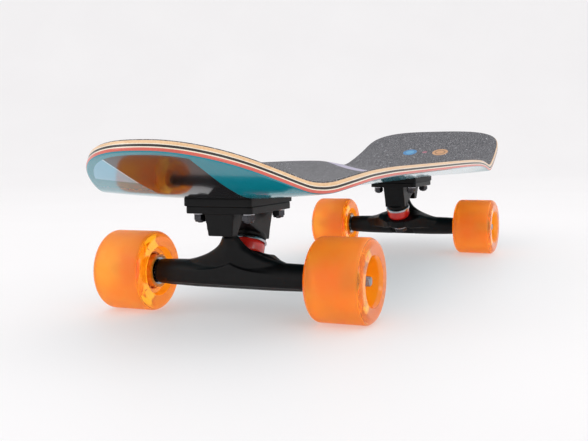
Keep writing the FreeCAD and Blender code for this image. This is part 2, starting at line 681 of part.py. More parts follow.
def yoke_shape():
    """Deep ring across the kingpin, with a shoulder each side that runs down
    and out into the beam."""
    top, rim = d("bushing_bottom"), d("bushing_bottom") - d("rim_deep")
    r = d("yoke_radius")
    ring = kcyl(r, rim + 1.2, top - 0.8)
    for radius, low, high in ((r - 0.8, top - 0.9, top), (r - 1.0, rim, rim + 1.3)):
        ring = ring.fuse(kcyl(radius, low, high))
    sections = [  # |y|, then the outline in X and Z
        (11.0, [(-35.0, 38.4), (-20.0, 45.1), (-4.0, 52.2), (4.0, 48.0), (0.0, 30.0), (-27.0, 30.0)]),
        (18.0, [(-31.5, 40.4), (-20.0, 46.2), (-5.0, 51.0), (4.0, 48.0), (2.0, 29.0), (-24.0, 30.5)]),
        (25.5, [(-25.0, 43.2), (-17.5, 47.2), (-6.0, 48.6), (4.0, 46.5), (3.0, 28.0), (-19.0, 31.5)]),
        (34.0, [(-16.0, 40.8), (-11.5, 43.8), (-4.0, 45.2), (4.0, 44.5), (3.0, 27.0), (-13.0, 31.0)]),
        (46.0, [(-9.0, 37.6), (-7.4, 40.2), (-2.0, 42.4), (4.0, 42.0), (3.0, 27.0), (-9.0, 31.0)])]
    for side in (1, -1):
        wires = [Part.makePolygon([Vector(x, side * y, z) for x, z in row + row[:1]])
                 for y, row in sections]
        ring = ring.fuse(Part.makeLoft(wires, True, True))
    return ring


def facing_shape():
    """The beam's flat outboard face.  Its top edge stands proud of the web and
    rises to a point in the middle."""
    wires = []
    for y in (-58, -45, -34, -26, -20, -14, -9, -4.5, 0, 4.5, 9, 14, 20, 26, 34, 45, 58):
        top = 35.8 + 7.0 * math.exp(-abs(y) / 13.0)
        x = 11.2 if abs(y) <= 30 else 11.2 - (abs(y) - 30) / 28.0 * 1.6
        row = [(0, 25.0), (x - 1.4, 25.0), (x, 27.4), (x, top - 0.5), (x - 0.5, top), (0, top + 0.2)]
        wires.append(Part.makePolygon([Vector(a, y, b) for a, b in row + row[:1]]))
    return Part.makeLoft(wires, True, True)


def pocket_shape():
    """Round room for the lower bushing inside the ring, and below it room for
    the washer and the nut, open inboard and below."""
    low, rim = d("bushing_bottom") - d("yoke_thick"), d("bushing_bottom") - d("rim_deep")
    prof = [(-60, rim), (11.9, rim), (10.7, rim - 2.0), (10.4, rim - 5.4),
            (8.3, rim - 6.4), (8.3, rim - 40), (-60, rim - 40)]
    pts = [kpoint(t, -14.5, level) for t, level in prof]
    box = Part.Face(Part.makePolygon(pts + [pts[0]])).extrude(Vector(0, 29, 0))
    return box.fuse(kcyl(12.9, rim - 0.5, low))


def hull_clear():
    """Clears the upper bushing, its washer and the boss above the yoke."""
    a = kcyl(d("bushing_radius") + 1.9, d("bushing_bottom"), d("bushing_bottom") + 40)
    return a


def neck_room():
    """The web ends below the housing; only the round neck goes on."""
    return Part.makeBox(120, 200, 40, Vector(-60, -100, 62.6))


web, neck, yoke, facing = web_shape(), neck_shape(), yoke_shape(), facing_shape()
for sh in (web, neck, yoke, facing):
    if not sh.isValid() or sh.Volume <= 0:
        raise SystemExit("a part of the hanger casting is not valid")
casting = web.cut(neck_room()).cut(hull_clear()).fuse(yoke.cut(hull_clear())).fuse(neck).fuse(facing)
boxes = kcyl(d("yoke_hole"), d("bushing_bottom") - 30, d("bushing_bottom") + 2)
casting = casting.cut(boxes)

for end, s in ENDS:
    beam = revolved(end + "_beam", [
        (0, 0), ("Dims.beam_radius", 0), ("Dims.beam_radius", 34.0),
        ("Dims.beam_radius - 0.5", 56.0), ("Dims.beam_end_radius", 66.0),
        ("Dims.beam_end_radius", "Dims.hanger_half - 0.7"),
        ("Dims.beam_end_radius - 0.7", "Dims.hanger_half"), (0, "Dims.hanger_half")])
    bind(beam, Placement__Base__z="Dims.axle_height")
    beam.Placement.Rotation = Rotation(Vector(1, 0, 0), -90)
    mirror = doc.addObject("Part::Mirroring", end + "_beam_other")
    mirror.Source = beam
    mirror.Base, mirror.Normal = Vector(0, 0, 0), Vector(0, 1, 0)
    cast = feature(end + "_casting", casting, Vector(0, 0, 0))
    blank = group("Fuse", end + "_hanger_blank", [beam, mirror, cast])
    bore = along_y(end + "_axle_bore", "Dims.axle_radius + 0.03",
                   "0-Dims.hanger_half - 1", "Dims.hanger_half + 1")
    pocket = feature(end + "_pocket", pocket_shape(), Vector(0, 0, 0))
    room = feature(end + "_bushing_room", hull_clear(), Vector(0, 0, 0))
    hanger = group("Cut", end + "_hanger_cut", [blank, group(
        "Fuse", end + "_hanger_tools", [bore, pocket, room])])
    at_truck(hanger, s)
    node(hanger, end + "_hanger")

    axle = prim("Cylinder", end + "_axle_rod", Radius="Dims.axle_radius",
                Height="2*Dims.axle_half - 1.6", Placement__Base__z="0-Dims.axle_half + 0.8")
    tips = [prim("Cone", end + "_axle_tip_a", Radius1="Dims.axle_radius",
                 Radius2="Dims.axle_radius - 0.8", Height="0.8",
                 Placement__Base__z="Dims.axle_half - 0.8"),
            prim("Cone", end + "_axle_tip_b", Radius1="Dims.axle_radius - 0.8",
                 Radius2="Dims.axle_radius", Height="0.8",
                 Placement__Base__z="0-Dims.axle_half")]
    node(on_axle(group("Fuse", end + "_axle_all", [axle] + tips), s, 1), end + "_axle")

    # washers, bearing inner races, spacers and nuts, clamped in one stack
    def stack(prefix, pts_of, side_names=SIDES):
        return [on_axle(revolved("%s_%s_%s" % (end, side_name, prefix), pts_of), s, side)
                for side_name, side in side_names]

    hh = "Dims.hanger_half"
    b_in = hh + " + Dims.ring_thick"
    b_out = b_in + " + Dims.bearing_wide + Dims.spacer_long"
    nut_at = b_out + " + Dims.bearing_wide + Dims.ring_thick"
    rb = "Dims.axle_radius + 0.03"

    def tube(ri, ro, z0, z1):
        return [(ri, z0), (ro, z0), (ro, z1), (ri, z1)]

    rings = (stack("ring_a", tube(rb, "Dims.ring_outer", hh, b_in))
             + stack("ring_b", tube(rb, "Dims.ring_outer", b_out + " + Dims.bearing_wide", nut_at)))
    node(group("Compound", end + "_rings", rings), end + "_speed_rings")
    node(group("Compound", end + "_spacer_set", stack("spacer", tube(
        rb, "Dims.spacer_outer", b_in + " + Dims.bearing_wide", b_out))), end + "_axle_spacers")

    inner = []
    for side_name, side in SIDES:
        for which, z0 in (("a", b_in), ("b", b_out)):
            nm = "%s_%s_inner_race_%s" % (end, side_name, which)
            # the ball track is turned into its outside
            track = []
            span = math.acos((d("ball_pitch") - d("race_inner_od")) / d("groove_radius"))
            for k in range(7):
                t = span * (k / 3.0 - 1)
                track.append(("Dims.ball_pitch - Dims.groove_radius*%.8f" % math.cos(t)
                              if 0 < k < 6 else "Dims.race_inner_od",
                              "%s + Dims.bearing_wide/2 + Dims.groove_radius*%.8f"
                              % (z0, math.sin(t)) if abs(t) > 1e-9
                              else z0 + " + Dims.bearing_wide/2"))
            inner.append(on_axle(revolved(nm, [
                (rb, z0), ("Dims.race_inner_od", z0)] + track + [
                ("Dims.race_inner_od", z0 + " + Dims.bearing_wide"),
                (rb, z0 + " + Dims.bearing_wide")]), s, side))
    node(group("Compound", end + "_inner_race_set", inner), end + "_inner_races")

    nuts = []
    for side_name, side in SIDES:
        nm = "%s_%s_axle_nut" % (end, side_name)
        blank = padded(nm, hexagon("Dims.axle_nut_flat"), "Dims.axle_nut_thick",
                       midplane=False)
        bind(blank, Placement__Base__z=nut_at)
        hole = prim("Cylinder", nm + "_hole", Radius=rb, Height="200")
        nuts.append(on_axle(group("Cut", nm + "_cut", [blank, hole]), s, side))
    node(group("Compound", end + "_nuts", nuts), end + "_axle_nuts")

# --------------------------------------------------------------------- wheels
# wheel pieces are turned about the axle; heights run outward from the middle
for end, s in ENDS:
    for side_name, side in SIDES:
        pre = "%s_%s_" % (end, side_name)
        lip, R = d("lip_radius"), d("wheel_radius")
        w0, w1 = d("wheel_inner"), d("wheel_outer")

        # tyre: tread, round lips, deep outer cup, shallow inner cup, seat ring
        body = doc.addObject("PartDesign::Body", pre + "tyre_body")
        sk = body.newObject("Sketcher::SketchObject", pre + "tyre_profile")
        sk.AttachmentSupport = (plane_of(body, "XZ_Plane"), [""])
        sk.MapMode = "FlatFace"
        v = lambda a, b: Vector(a, b, 0)
        q = lip * (1 - math.sqrt(0.5))
        geo = [
            Part.LineSegment(v(15.6, 76.0), v(19.0, 74.8)),
            Part.LineSegment(v(19.0, 74.8), v(20.6, w0 + 0.5)),
            Part.LineSegment(v(20.6, w0 + 0.5), v(R - lip, w0)),
            Part.Arc(v(R - lip, w0), v(R - q, w0 + q), v(R, w0 + lip)),
            Part.LineSegment(v(R, w0 + lip), v(R, w1 - lip)),
            Part.Arc(v(R, w1 - lip), v(R - q, w1 - q), v(R - lip, w1)),
            Part.LineSegment(v(R - lip, w1), v(20.2, w1 - 0.5)),
            Part.LineSegment(v(20.2, w1 - 0.5), v(18.6, w1 - 2.2)),
            Part.LineSegment(v(18.6, w1 - 2.2), v(15.6, 95.2)),
            Part.LineSegment(v(15.6, 95.2), v(15.6, 76.0)),
        ]
        for g in geo:
            sk.addGeometry(g, False)
        n = len(geo)
        for i in range(n):
            sk.addConstraint(Sketcher.Constraint("Coincident", i, 2, (i + 1) % n, 1))

        def pin(i, where, axis, value, expr=None):
            c = sk.addConstraint(Sketcher.Constraint("Distance" + axis, -1, 1, i, where, value))
            if expr:
                sk.setExpression("Constraints[%d]" % c, expr)

        corners = [(15.6, 76.0, None, None), (19.0, 74.8, None, None),
                   (20.6, w0 + 0.5, None, "Dims.wheel_inner + 0.5"),
                   (R - lip, w0, "Dims.wheel_radius - Dims.lip_radius", "Dims.wheel_inner"),
                   (R, w0 + lip, "Dims.wheel_radius", "Dims.wheel_inner + Dims.lip_radius"),
                   (R, w1 - lip, "Dims.wheel_radius", "Dims.wheel_outer - Dims.lip_radius"),
                   (R - lip, w1, "Dims.wheel_radius - Dims.lip_radius", "Dims.wheel_outer"),
                   (20.2, w1 - 0.5, None, "Dims.wheel_outer - 0.5"),
                   (18.6, w1 - 2.2, None, "Dims.wheel_outer - 2.2"),
                   (15.6, 95.2, None, None)]
        for i, (a, b, ea, eb) in enumerate(corners):
            pin(i, 1, "X", a, ea)
            pin(i, 1, "Y", b, eb)
        for i in (3, 5):
            c = sk.addConstraint(Sketcher.Constraint("Radius", i, lip))
            sk.setExpression("Constraints[%d]" % c, "Dims.lip_radius")
        rev = body.newObject("PartDesign::Revolution", pre + "tyre_turned")
        rev.Profile = sk
        rev.ReferenceAxis = (sk, ["V_Axis"])
        rev.Angle = 360.0
        body.Tip = rev
        node(on_axle(body, s, side), pre + "tyre")

        # core: bearing seats, a middle web and eight spokes out to the tyre
        hub = revolved(pre + "hub", [
            ("Dims.bearing_outer + 0.03", 70.0), (13.4, 70.0), (13.4, 94.0),
            ("Dims.bearing_outer + 0.03", 94.0),
            ("Dims.bearing_outer + 0.03", "Dims.hanger_half + Dims.ring_thick + Dims.bearing_wide + Dims.spacer_long"),
            (8.4, "Dims.hanger_half + Dims.ring_thick + Dims.bearing_wide + Dims.spacer_long"),
            (8.4, "Dims.hanger_half + Dims.ring_thick + Dims.bearing_wide"),
            ("Dims.bearing_outer + 0.03", "Dims.hanger_half + Dims.ring_thick + Dims.bearing_wide")])
        rim = revolved(pre + "rim", [(14.6, 76.1), (15.57, 76.1), (15.57, 94.9), (14.6, 94.9)])
        disc = revolved(pre + "disc", [(13.0, 81.0), (14.9, 81.0), (14.9, 83.0), (13.0, 83.0)])
        spokes = []
        for k in range(8):
            b = prim("Box", "%sspoke_%d" % (pre, k), Length="1.9", Width="2.2", Height="17.4")
            b.Placement = Placement(Vector(0, 0, 76.5), Rotation(Vector(0, 0, 1), 45 * k + 22.5),
                                    ).multiply(Placement(Vector(13.0, -1.1, 0), Rotation()))
            spokes.append(b)
        core = group("Fuse", pre + "core_all", [hub, rim, disc] + spokes)
        node(on_axle(core, s, side), pre + "wheel_core")

        outer, balls, cages, shields = [], [], [], []
        for which, start in (("a", "Dims.hanger_half + Dims.ring_thick"),
                             ("b", "Dims.hanger_half + Dims.ring_thick + Dims.bearing_wide + Dims.spacer_long")):
            nm = pre + "race_" + which
            z0 = start
            mid = z0 + " + Dims.bearing_wide/2"
            blank = revolved(nm, tube("Dims.race_outer_id", "Dims.bearing_outer", z0,
                                      z0 + " + Dims.bearing_wide"))
            groove = prim("Torus", nm + "_groove", Radius1="Dims.ball_pitch",
                          Radius2="Dims.groove_radius + 0.4", Placement__Base__z=mid)
            groove.setExpression("Radius2", "Dims.groove_radius")
            outer.append(on_axle(group("Cut", nm + "_cut", [blank, groove]), s, side))
            cage = revolved(nm + "_cage_ring", tube("7.0", "8.15", mid + " - 2.5", mid + " + 2.5"))
            holes = []
            for k in range(7):
                a = 2 * math.pi * (k + 0.5) / 7
                ball = prim("Sphere", "%s_ball_%d" % (nm, k), Radius="Dims.ball_radius")
                bind(ball, Placement__Base__x="Dims.ball_pitch*%.8f" % math.cos(a),
                     Placement__Base__y="Dims.ball_pitch*%.8f" % math.sin(a),
                     Placement__Base__z=mid)
                balls.append(ball)
                # the cage holds each ball in a round hole drilled through it
                seat = prim("Cylinder", "%s_seat_%d" % (nm, k),
                            Radius="Dims.ball_radius + 0.08", Height="6")
                out = Vector(math.cos(a), math.sin(a), 0)
                seat.Placement = Placement(out * 4.6, Rotation(Vector(0, 0, 1), out))
                bind(seat, Placement__Base__z=mid)
                holes.append(seat)
            cages.append(on_axle(group("Cut", nm + "_cage", [cage, group(
                "Fuse", nm + "_cage_seats", holes)]), s, side))
            for tag, at in (("in", z0 + " + 0.15"), ("out", z0 + " + Dims.bearing_wide - 0.5")):
                shields.append(on_axle(revolved(nm + "_shield_" + tag, tube(
                    "6.3", "Dims.race_outer_id - 0.02", at, at + " + 0.35")), s, side))
        node(group("Compound", pre + "races", outer), pre + "outer_races")
        node(on_axle(group("Compound", pre + "balls", balls), s, side), pre + "bearing_balls")
        node(group("Compound", pre + "cages", cages), pre + "bearing_cages")
        node(group("Compound", pre + "shields", shields), pre + "bearing_shields")

doc.recompute()

# --------------------------------------------------------------------- checks
bad = [o.Name for o in doc.Objects if set(o.State) & {"Invalid", "Error"}]
if bad:
    raise SystemExit("failed objects: " + ", ".join(bad))
for o in doc.Objects:
    if o.TypeId == "Part::Cut" and not (
            0 < o.Shape.Volume < o.Base.Shape.Volume - 0.5
            or len(o.Shape.Faces) > len(o.Base.Shape.Faces) + 7):
        raise SystemExit("cut removed nothing: " + o.Name)
labels = [o.Label for o in NODES]
if len(set(labels)) != len(labels):
    raise SystemExit("two pieces share a name")
for o in NODES:
    sh = o.Shape
    if sh.isNull() or not sh.isValid() or not sh.Solids:
        raise SystemExit("bad shape: " + o.Label)
for o in NODES:
    sh = o.Shape
    sh.exportStep("parts/%s.step" % o.Label)
    b = sh.BoundBox
    print("%-26s %2d solid(s) %10.1f mm3  X %.1f..%.1f Y %.1f..%.1f Z %.1f..%.1f" % (
        o.Label, len(sh.Solids), sh.Volume, b.XMin, b.XMax, b.YMin, b.YMax, b.ZMin, b.ZMax))
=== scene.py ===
import bpy, math
import numpy as np
from mathutils import Matrix, Vector


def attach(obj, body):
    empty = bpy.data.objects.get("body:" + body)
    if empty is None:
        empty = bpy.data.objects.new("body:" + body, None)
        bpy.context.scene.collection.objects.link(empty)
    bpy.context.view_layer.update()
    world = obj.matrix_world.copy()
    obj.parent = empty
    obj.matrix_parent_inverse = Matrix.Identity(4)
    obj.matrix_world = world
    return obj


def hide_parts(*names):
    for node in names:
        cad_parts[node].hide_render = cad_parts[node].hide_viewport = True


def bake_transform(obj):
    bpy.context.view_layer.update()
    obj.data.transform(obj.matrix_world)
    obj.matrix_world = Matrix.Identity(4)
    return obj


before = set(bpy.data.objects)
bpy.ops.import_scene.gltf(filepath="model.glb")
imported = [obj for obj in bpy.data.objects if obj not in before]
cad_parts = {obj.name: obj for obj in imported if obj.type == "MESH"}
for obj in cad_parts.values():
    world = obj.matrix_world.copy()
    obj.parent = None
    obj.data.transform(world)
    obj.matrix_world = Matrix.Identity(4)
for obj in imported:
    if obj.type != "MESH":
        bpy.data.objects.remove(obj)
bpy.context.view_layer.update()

MM = 0.001
SHIFT, HALF_BASE, AXLE_Z = 18.83, 228.4, 32.5
LEAN, KX, KZ = math.radians(24.0), -22.5, 51.0
ENDS = (("front", 1), ("rear", -1))
SIDES = (("left", 1), ("right", -1))
COL = bpy.context.scene.collection


# ------------------------------------------------------------------ mesh tools
def mesh_object(name, verts, faces, mats=(), index=None, sharp=38.0):
    me = bpy.data.meshes.new(name)
    me.from_pydata([tuple(v) for v in verts], [], [tuple(f) for f in faces])
    for m in mats:
        me.materials.append(m)
    if index is not None:
        me.polygons.foreach_set("material_index", index)
    me.polygons.foreach_set("use_smooth", [True] * len(me.polygons))
    if sharp is not None:
        me.set_sharp_from_angle(angle=math.radians(sharp))
    me.validate()
    me.update()
    ob = bpy.data.objects.new(name, me)
    COL.objects.link(ob)
    return ob


def rounded(points, n=5):
    """A closed outline of (r, h, fillet) corners with each fillet drawn as an arc."""
    out = []
    k = len(points)
    for i in range(k):
        p0, p1, p2 = (np.array(points[j % k][:2], float) for j in (i - 1, i, i + 1))
        f = points[i][2] if len(points[i]) > 2 else 0
        if f <= 0:
            out.append(tuple(p1))
            continue
        a, b = p0 - p1, p2 - p1
        la, lb = np.linalg.norm(a), np.linalg.norm(b)
        a, b = a / la, b / lb
        ang = math.acos(max(-1, min(1, float(a @ b))))
        t = min(f / math.tan(ang / 2), la * 0.49, lb * 0.49)
        r = t * math.tan(ang / 2)
        mid = (a + b) / np.linalg.norm(a + b)
        c = p1 + mid * (r / math.sin(ang / 2))
        s, e = p1 + a * t - c, p1 + b * t - c
        for j in range(n + 1):
            u = j / n
            w = s * (1 - u) + e * u
            out.append(tuple(c + w / np.linalg.norm(w) * r))
    return out


def lathe(outline, seg=96, name="lathe", mats=(), sharp=38.0, place=None):
    """Turns a closed (r, h) outline in mm about Z; r of 0 closes on the axis."""
    verts, faces = [], []
    n = len(outline)
    rings = []
    for r, h in outline:
        if r < 1e-6:
            rings.append([len(verts)])
            verts.append((0, 0, h * MM))
        else:
            base = len(verts)
            for j in range(seg):
                a = 2 * math.pi * j / seg
                verts.append((r * MM * math.cos(a), r * MM * math.sin(a), h * MM))
            rings.append(list(range(base, base + seg)))
    for i in range(n):
        a, b = rings[i], rings[(i + 1) % n]
        if len(a) == 1 and len(b) == 1:
            continue
        for j in range(seg):
            k = (j + 1) % seg
            if len(a) == 1:
                faces.append((a[0], b[k], b[j]))
            elif len(b) == 1:
                faces.append((a[j], a[k], b[0]))
            else:
                faces.append((a[j], a[k], b[k], b[j]))
    ob = mesh_object(name, verts, faces, mats, None, None)
    if place is not None:
        ob.data.transform(place)
    fix_normals(ob, sharp)
    return ob


def fix_normals(ob, sharp=38.0):
    import bmesh
    bm = bmesh.new()
    bm.from_mesh(ob.data)
    bmesh.ops.remove_doubles(bm, verts=bm.verts, dist=1e-7)
    bmesh.ops.recalc_face_normals(bm, faces=bm.faces)
    bm.to_mesh(ob.data)
    bm.free()
    ob.data.polygons.foreach_set("use_smooth", [True] * len(ob.data.polygons))
    if sharp is not None:
        ob.data.set_sharp_from_angle(angle=math.radians(sharp))
    ob.data.update()


def join(name, parts, sharp=38.0):
    """One mesh object out of several, keeping their materials."""
    mats, verts, faces, index = [], [], [], []
    for p in parts:
        off = len(verts)
        slots = []
        for m in p.data.materials:
            if m not in mats:
                mats.append(m)
            slots.append(mats.index(m))
        verts += [v.co.copy() for v in p.data.vertices]
        for f in p.data.polygons:
            faces.append([off + i for i in f.vertices])
            index.append(slots[f.material_index] if slots else 0)
    for p in parts:
        me = p.data
        bpy.data.objects.remove(p)
        bpy.data.meshes.remove(me)
    return mesh_object(name, verts, faces, mats, index, sharp)


def truck_at(s):
    m = Matrix.Translation(((SHIFT + s * HALF_BASE) * MM, 0, 0))
    return m if s > 0 else m @ Matrix.Rotation(math.pi, 4, "Z")


def kingpin_at(s):
    m = Matrix.Translation(((SHIFT + s * (HALF_BASE + KX)) * MM, 0, KZ * MM))
    return m @ Matrix.Rotation(LEAN, 4, Vector((0, -s, 0)))


def axle_at(s, side):
    m = Matrix.Translation(((SHIFT + s * HALF_BASE) * MM, 0, AXLE_Z * MM))
    return m @ Matrix.Rotation(-math.pi / 2 * side, 4, "X")


def hex_nut(name, flat, bore, z0, z1, mats, place, chamfer=0.9, seg=48, lead=0.5,
            crown=None):
    """A chamfered hexagon nut, its bore leading in with a countersink.  crown
    gives the radius and height of a nylon collar on its outer face."""
    c = flat / math.sqrt(3)
    rings = []
    # outer surface: hexagon cut by two chamfer cones

    def hexr(a):
        k = (a + math.pi / 6) % (math.pi / 3) - math.pi / 6
        return flat / 2 / math.cos(k)

    def ring(fn, h):
        rings.append([(fn(2 * math.pi * j / seg), h(2 * math.pi * j / seg), 2 * math.pi * j / seg)
                      for j in range(seg)])

    tan = 0.5
    ring(lambda a: flat / 2 - 0.15, lambda a: z0)
    ring(hexr, lambda a: z0 + max(0.0, (hexr(a) - flat / 2 + 0.15) * tan))
    ring(hexr, lambda a: z1 - max(0.0, (hexr(a) - flat / 2 + 0.15) * tan))
    ring(lambda a: flat / 2 - 0.15, lambda a: z1)
    if crown:
        cr, ch = crown
        ring(lambda a: cr + 0.25, lambda a: z1)
        ring(lambda a: cr, lambda a: z1 + ch * 0.7)
        ring(lambda a: cr - 0.5, lambda a: z1 + ch)
        top = z1 + ch
    else:
        top = z1
    ring(lambda a: bore + lead, lambda a: top)
    ring(lambda a: bore, lambda a: top - lead)
    ring(lambda a: bore, lambda a: z0 + lead)
    ring(lambda a: bore + lead, lambda a: z0)
    verts, faces = [], []
    for r in rings:
        for rad, h, a in r:
            verts.append((rad * MM * math.cos(a), rad * MM * math.sin(a), h * MM))
    n = len(rings)
    for i in range(n):
        for j in range(seg):
            k = (j + 1) % seg
            faces.append((i * seg + j, i * seg + k, ((i + 1) % n) * seg + k,
                          ((i + 1) % n) * seg + j))
    ob = mesh_object(name, verts, faces, mats, None, None)
    ob.data.transform(place)
    fix_normals(ob, 25)
    return ob


def threaded(name, r, depth, pitch, z0, z1, mats, place, seg=28, tip=0.6):
    """A rod with a helical vee thread; its crests stay at r."""
    rows = int((z1 - z0) / pitch * 4) + 1
    verts, faces = [], []
    for i in range(rows + 1):
        h = z0 + (z1 - z0) * i / rows
        for j in range(seg):
            a = 2 * math.pi * j / seg
            ph = ((h - z0) / pitch + j / seg) % 1.0
            d = depth * (1 - abs(2 * ph - 1)) ** 1.0
            end = min(h - z0, z1 - h)
            rr = r - d - (max(0.0, tip - end) * 0.8 if tip else 0)
            verts.append((rr * MM * math.cos(a), rr * MM * math.sin(a), h * MM))
    for i in range(rows):
        for j in range(seg):
            k = (j + 1) % seg
            faces.append((i * seg + j, i * seg + k, (i + 1) * seg + k, (i + 1) * seg + j))
    lo, hi = len(verts), len(verts) + 1
    verts += [(0, 0, z0 * MM), (0, 0, z1 * MM)]
    for j in range(seg):
        k = (j + 1) % seg
        faces.append((lo, k, j))
        faces.append((hi, rows * seg + j, rows * seg + k))
    ob = mesh_object(name, verts, faces, mats, None, None)
    ob.data.transform(place)
    fix_normals(ob, 50)
    return ob


# ------------------------------------------------------------------- materials
class Mat:
    """A short way to write a procedural material in object coordinates."""

    def __init__(self, name):
        self.m = bpy.data.materials.new(name)
        self.m.use_nodes = True
        self.t = self.m.node_tree
        self.p = self.t.nodes["Principled BSDF"]
        self.co = self.add("ShaderNodeTexCoord").outputs["Object"]

    def add(self, kind, **props):
        node = self.t.nodes.new(kind)
        for k, v in props.items():
            setattr(node, k, v)
        return node

    def wire(self, a, b):
        self.t.links.new(a, b)

    def set(self, **vals):
        for k, v in vals.items():
            self.p.inputs[k.replace("_", " ")].default_value = v
        return self

    def scaled(self, scale, co=None):
        mp = self.add("ShaderNodeMapping")
        mp.inputs["Scale"].default_value = scale if hasattr(scale, "__len__") else (scale,) * 3
        self.wire(co or self.co, mp.inputs["Vector"])
        return mp.outputs["Vector"]

    def noise(self, scale, detail=4.0, rough=0.55, co=None, distortion=0.0):
        n = self.add("ShaderNodeTexNoise")
        n.inputs["Scale"].default_value = 1.0
        n.inputs["Detail"].default_value = detail
        n.inputs["Roughness"].default_value = rough
        n.inputs["Distortion"].default_value = distortion
        self.wire(self.scaled(scale, co), n.inputs["Vector"])
        return n.outputs["Fac"]

    def cells(self, scale, feature="F1", out="Distance", co=None):
        n = self.add("ShaderNodeTexVoronoi", feature=feature)
        n.inputs["Scale"].default_value = 1.0
        self.wire(self.scaled(scale, co), n.inputs["Vector"])
        return n.outputs[out]

    def math(self, op, a, b=None, c=None, clamp=False):
        n = self.add("ShaderNodeMath", operation=op, use_clamp=clamp)
        for i, v in enumerate((a, b, c)):
            if v is None:
                continue
            if isinstance(v, (int, float)):
                n.inputs[i].default_value = v
            else:
                self.wire(v, n.inputs[i])
        return n.outputs[0]

    def ramp(self, fac, stops, interp="LINEAR"):
        n = self.add("ShaderNodeValToRGB")
        e = n.color_ramp.elements
        n.color_ramp.interpolation = interp
        e[0].position, e[1].position = stops[0][0], stops[-1][0]
        e[0].color, e[1].color = col(stops[0][1]), col(stops[-1][1])
        for pos, c in stops[1:-1]:
            k = e.new(pos)
            k.color = col(c)
        self.wire(fac, n.inputs["Fac"])
        return n.outputs["Color"]

    def mix(self, fac, a, b):
        n = self.add("ShaderNodeMix", data_type="RGBA")
        for sock, v in ((n.inputs["Factor"], fac), (n.inputs[6], a), (n.inputs[7], b)):
            if isinstance(v, (int, float)):
                sock.default_value = v
            elif isinstance(v, (tuple, list)):
                sock.default_value = col(v)
            else:
                self.wire(v, sock)
        return n.outputs[2]

    def color(self, c):
        self.wire(c, self.p.inputs["Base Color"])

    def rough(self, fac, lo, hi):
        n = self.add("ShaderNodeMapRange")
        n.inputs["To Min"].default_value = lo
        n.inputs["To Max"].default_value = hi
        self.wire(fac, n.inputs["Value"])
        self.wire(n.outputs["Result"], self.p.inputs["Roughness"])

    def bump(self, height, strength, dist):
        n = self.add("ShaderNodeBump")
        n.inputs["Strength"].default_value = strength
        n.inputs["Distance"].default_value = dist
        self.wire(height, n.inputs["Height"])
        self.wire(n.outputs["Normal"], self.p.inputs["Normal"])
        return n

    def xyz(self):
        n = self.add("ShaderNodeSeparateXYZ")
        self.wire(self.co, n.inputs[0])
        return n.outputs[0], n.outputs[1], n.outputs[2]


def col(c):
    return (c, c, c, 1) if isinstance(c, (int, float)) else tuple(c) + ((1,) if len(c) == 3 else ())


def srgb(r, g, b):
    f = lambda v: (v / 255 / 12.92 if v <= 10.3 else ((v / 255 + 0.055) / 1.055) ** 2.4)
    return (f(r), f(g), f(b))


def wood(name, light, dark, rough=0.34, grain=1.0, coat=0.5):
    """Maple: long fibres along X, short pores, a satin lacquer."""
    m = Mat(name)
    fib = m.noise((38, 900, 900), 5, 0.6, distortion=0.3)
    band = m.noise((7, 60, 240), 3, 0.5)
    f = m.math("ADD", m.math("MULTIPLY", fib, 0.6), m.math("MULTIPLY", band, 0.4))
    m.color(m.ramp(f, [(0.30, dark), (0.62, light)]))
    m.rough(fib, rough - 0.06, rough + 0.12)
    m.bump(fib, 0.12 * grain, 0.0002)
    m.set(Coat_Weight=coat, Coat_Roughness=0.12)
    return m.m


M_TAN = wood("ply_natural", srgb(244, 206, 160), srgb(222, 172, 122))
M_CREAM = wood("ply_cream", srgb(250, 240, 224), srgb(232, 214, 188))
M_DARK = wood("ply_black", srgb(46, 38, 31), srgb(26, 22, 18), coat=0.1)
M_CORAL = wood("ply_coral", srgb(222, 100, 82), srgb(198, 80, 66))


def underside():
    """Painted bottom ply under clear coat: teal rails, a dark band along the
    middle and a pale blue field near the nose."""
    m = Mat("deck_underside")
    x, y, z = m.xyz()
    xm, ym = m.math("MULTIPLY", x, 1000.0), m.math("MULTIPLY", y, 1000.0)
    fib = m.noise((30, 500, 500), 4, 0.6)
    cloud = m.noise((12, 18, 12), 3, 0.5)
    teal = m.mix(fib, srgb(0, 128, 146), srgb(8, 144, 160))
    pale = m.mix(cloud, srgb(108, 176, 204), srgb(128, 190, 214))
    dark = m.mix(cloud, srgb(16, 16, 19), srgb(32, 31, 34))
    # pale field: right of a slanting line and ahead of the truck
    slant = m.math("ADD", m.math("MULTIPLY", ym, 0.16), xm)
    pale_on = m.math("MULTIPLY", m.math("LESS_THAN", ym, -33.0),
                     m.math("GREATER_THAN", slant, 322.5))
    tail_on = m.math("MULTIPLY", m.math("GREATER_THAN", ym, 33.0),
                     m.math("LESS_THAN", slant, -322.5))
    side = m.mix(m.math("MAXIMUM", pale_on, tail_on), teal, pale)
    band = m.math("LESS_THAN", m.math("ABSOLUTE", ym), 33.0)
    line = m.math("LESS_THAN", m.math("ABSOLUTE", m.math("SUBTRACT", m.math("ABSOLUTE", ym), 34.0)), 0.45)
    c = m.mix(band, side, dark)
    c = m.mix(m.math("MULTIPLY", line, m.math("GREATER_THAN", pale_on, 0.5)), c, srgb(190, 214, 222))
    rim = m.add("ShaderNodeAttribute", attribute_name="rim").outputs["Fac"]
    c = m.mix(m.math("LESS_THAN", rim, 5.5), c, teal)
    m.color(c)
    m.rough(fib, 0.10, 0.16)
    m.bump(m.noise((60, 240, 240), 3, 0.5), 0.02, 0.0002)
    m.set(Coat_Weight=0.35, Coat_Roughness=0.05, Coat_IOR=1.45)
    m.p.inputs["Specular IOR Level"].default_value = 0.3
    return m.m


M_UNDER = underside()


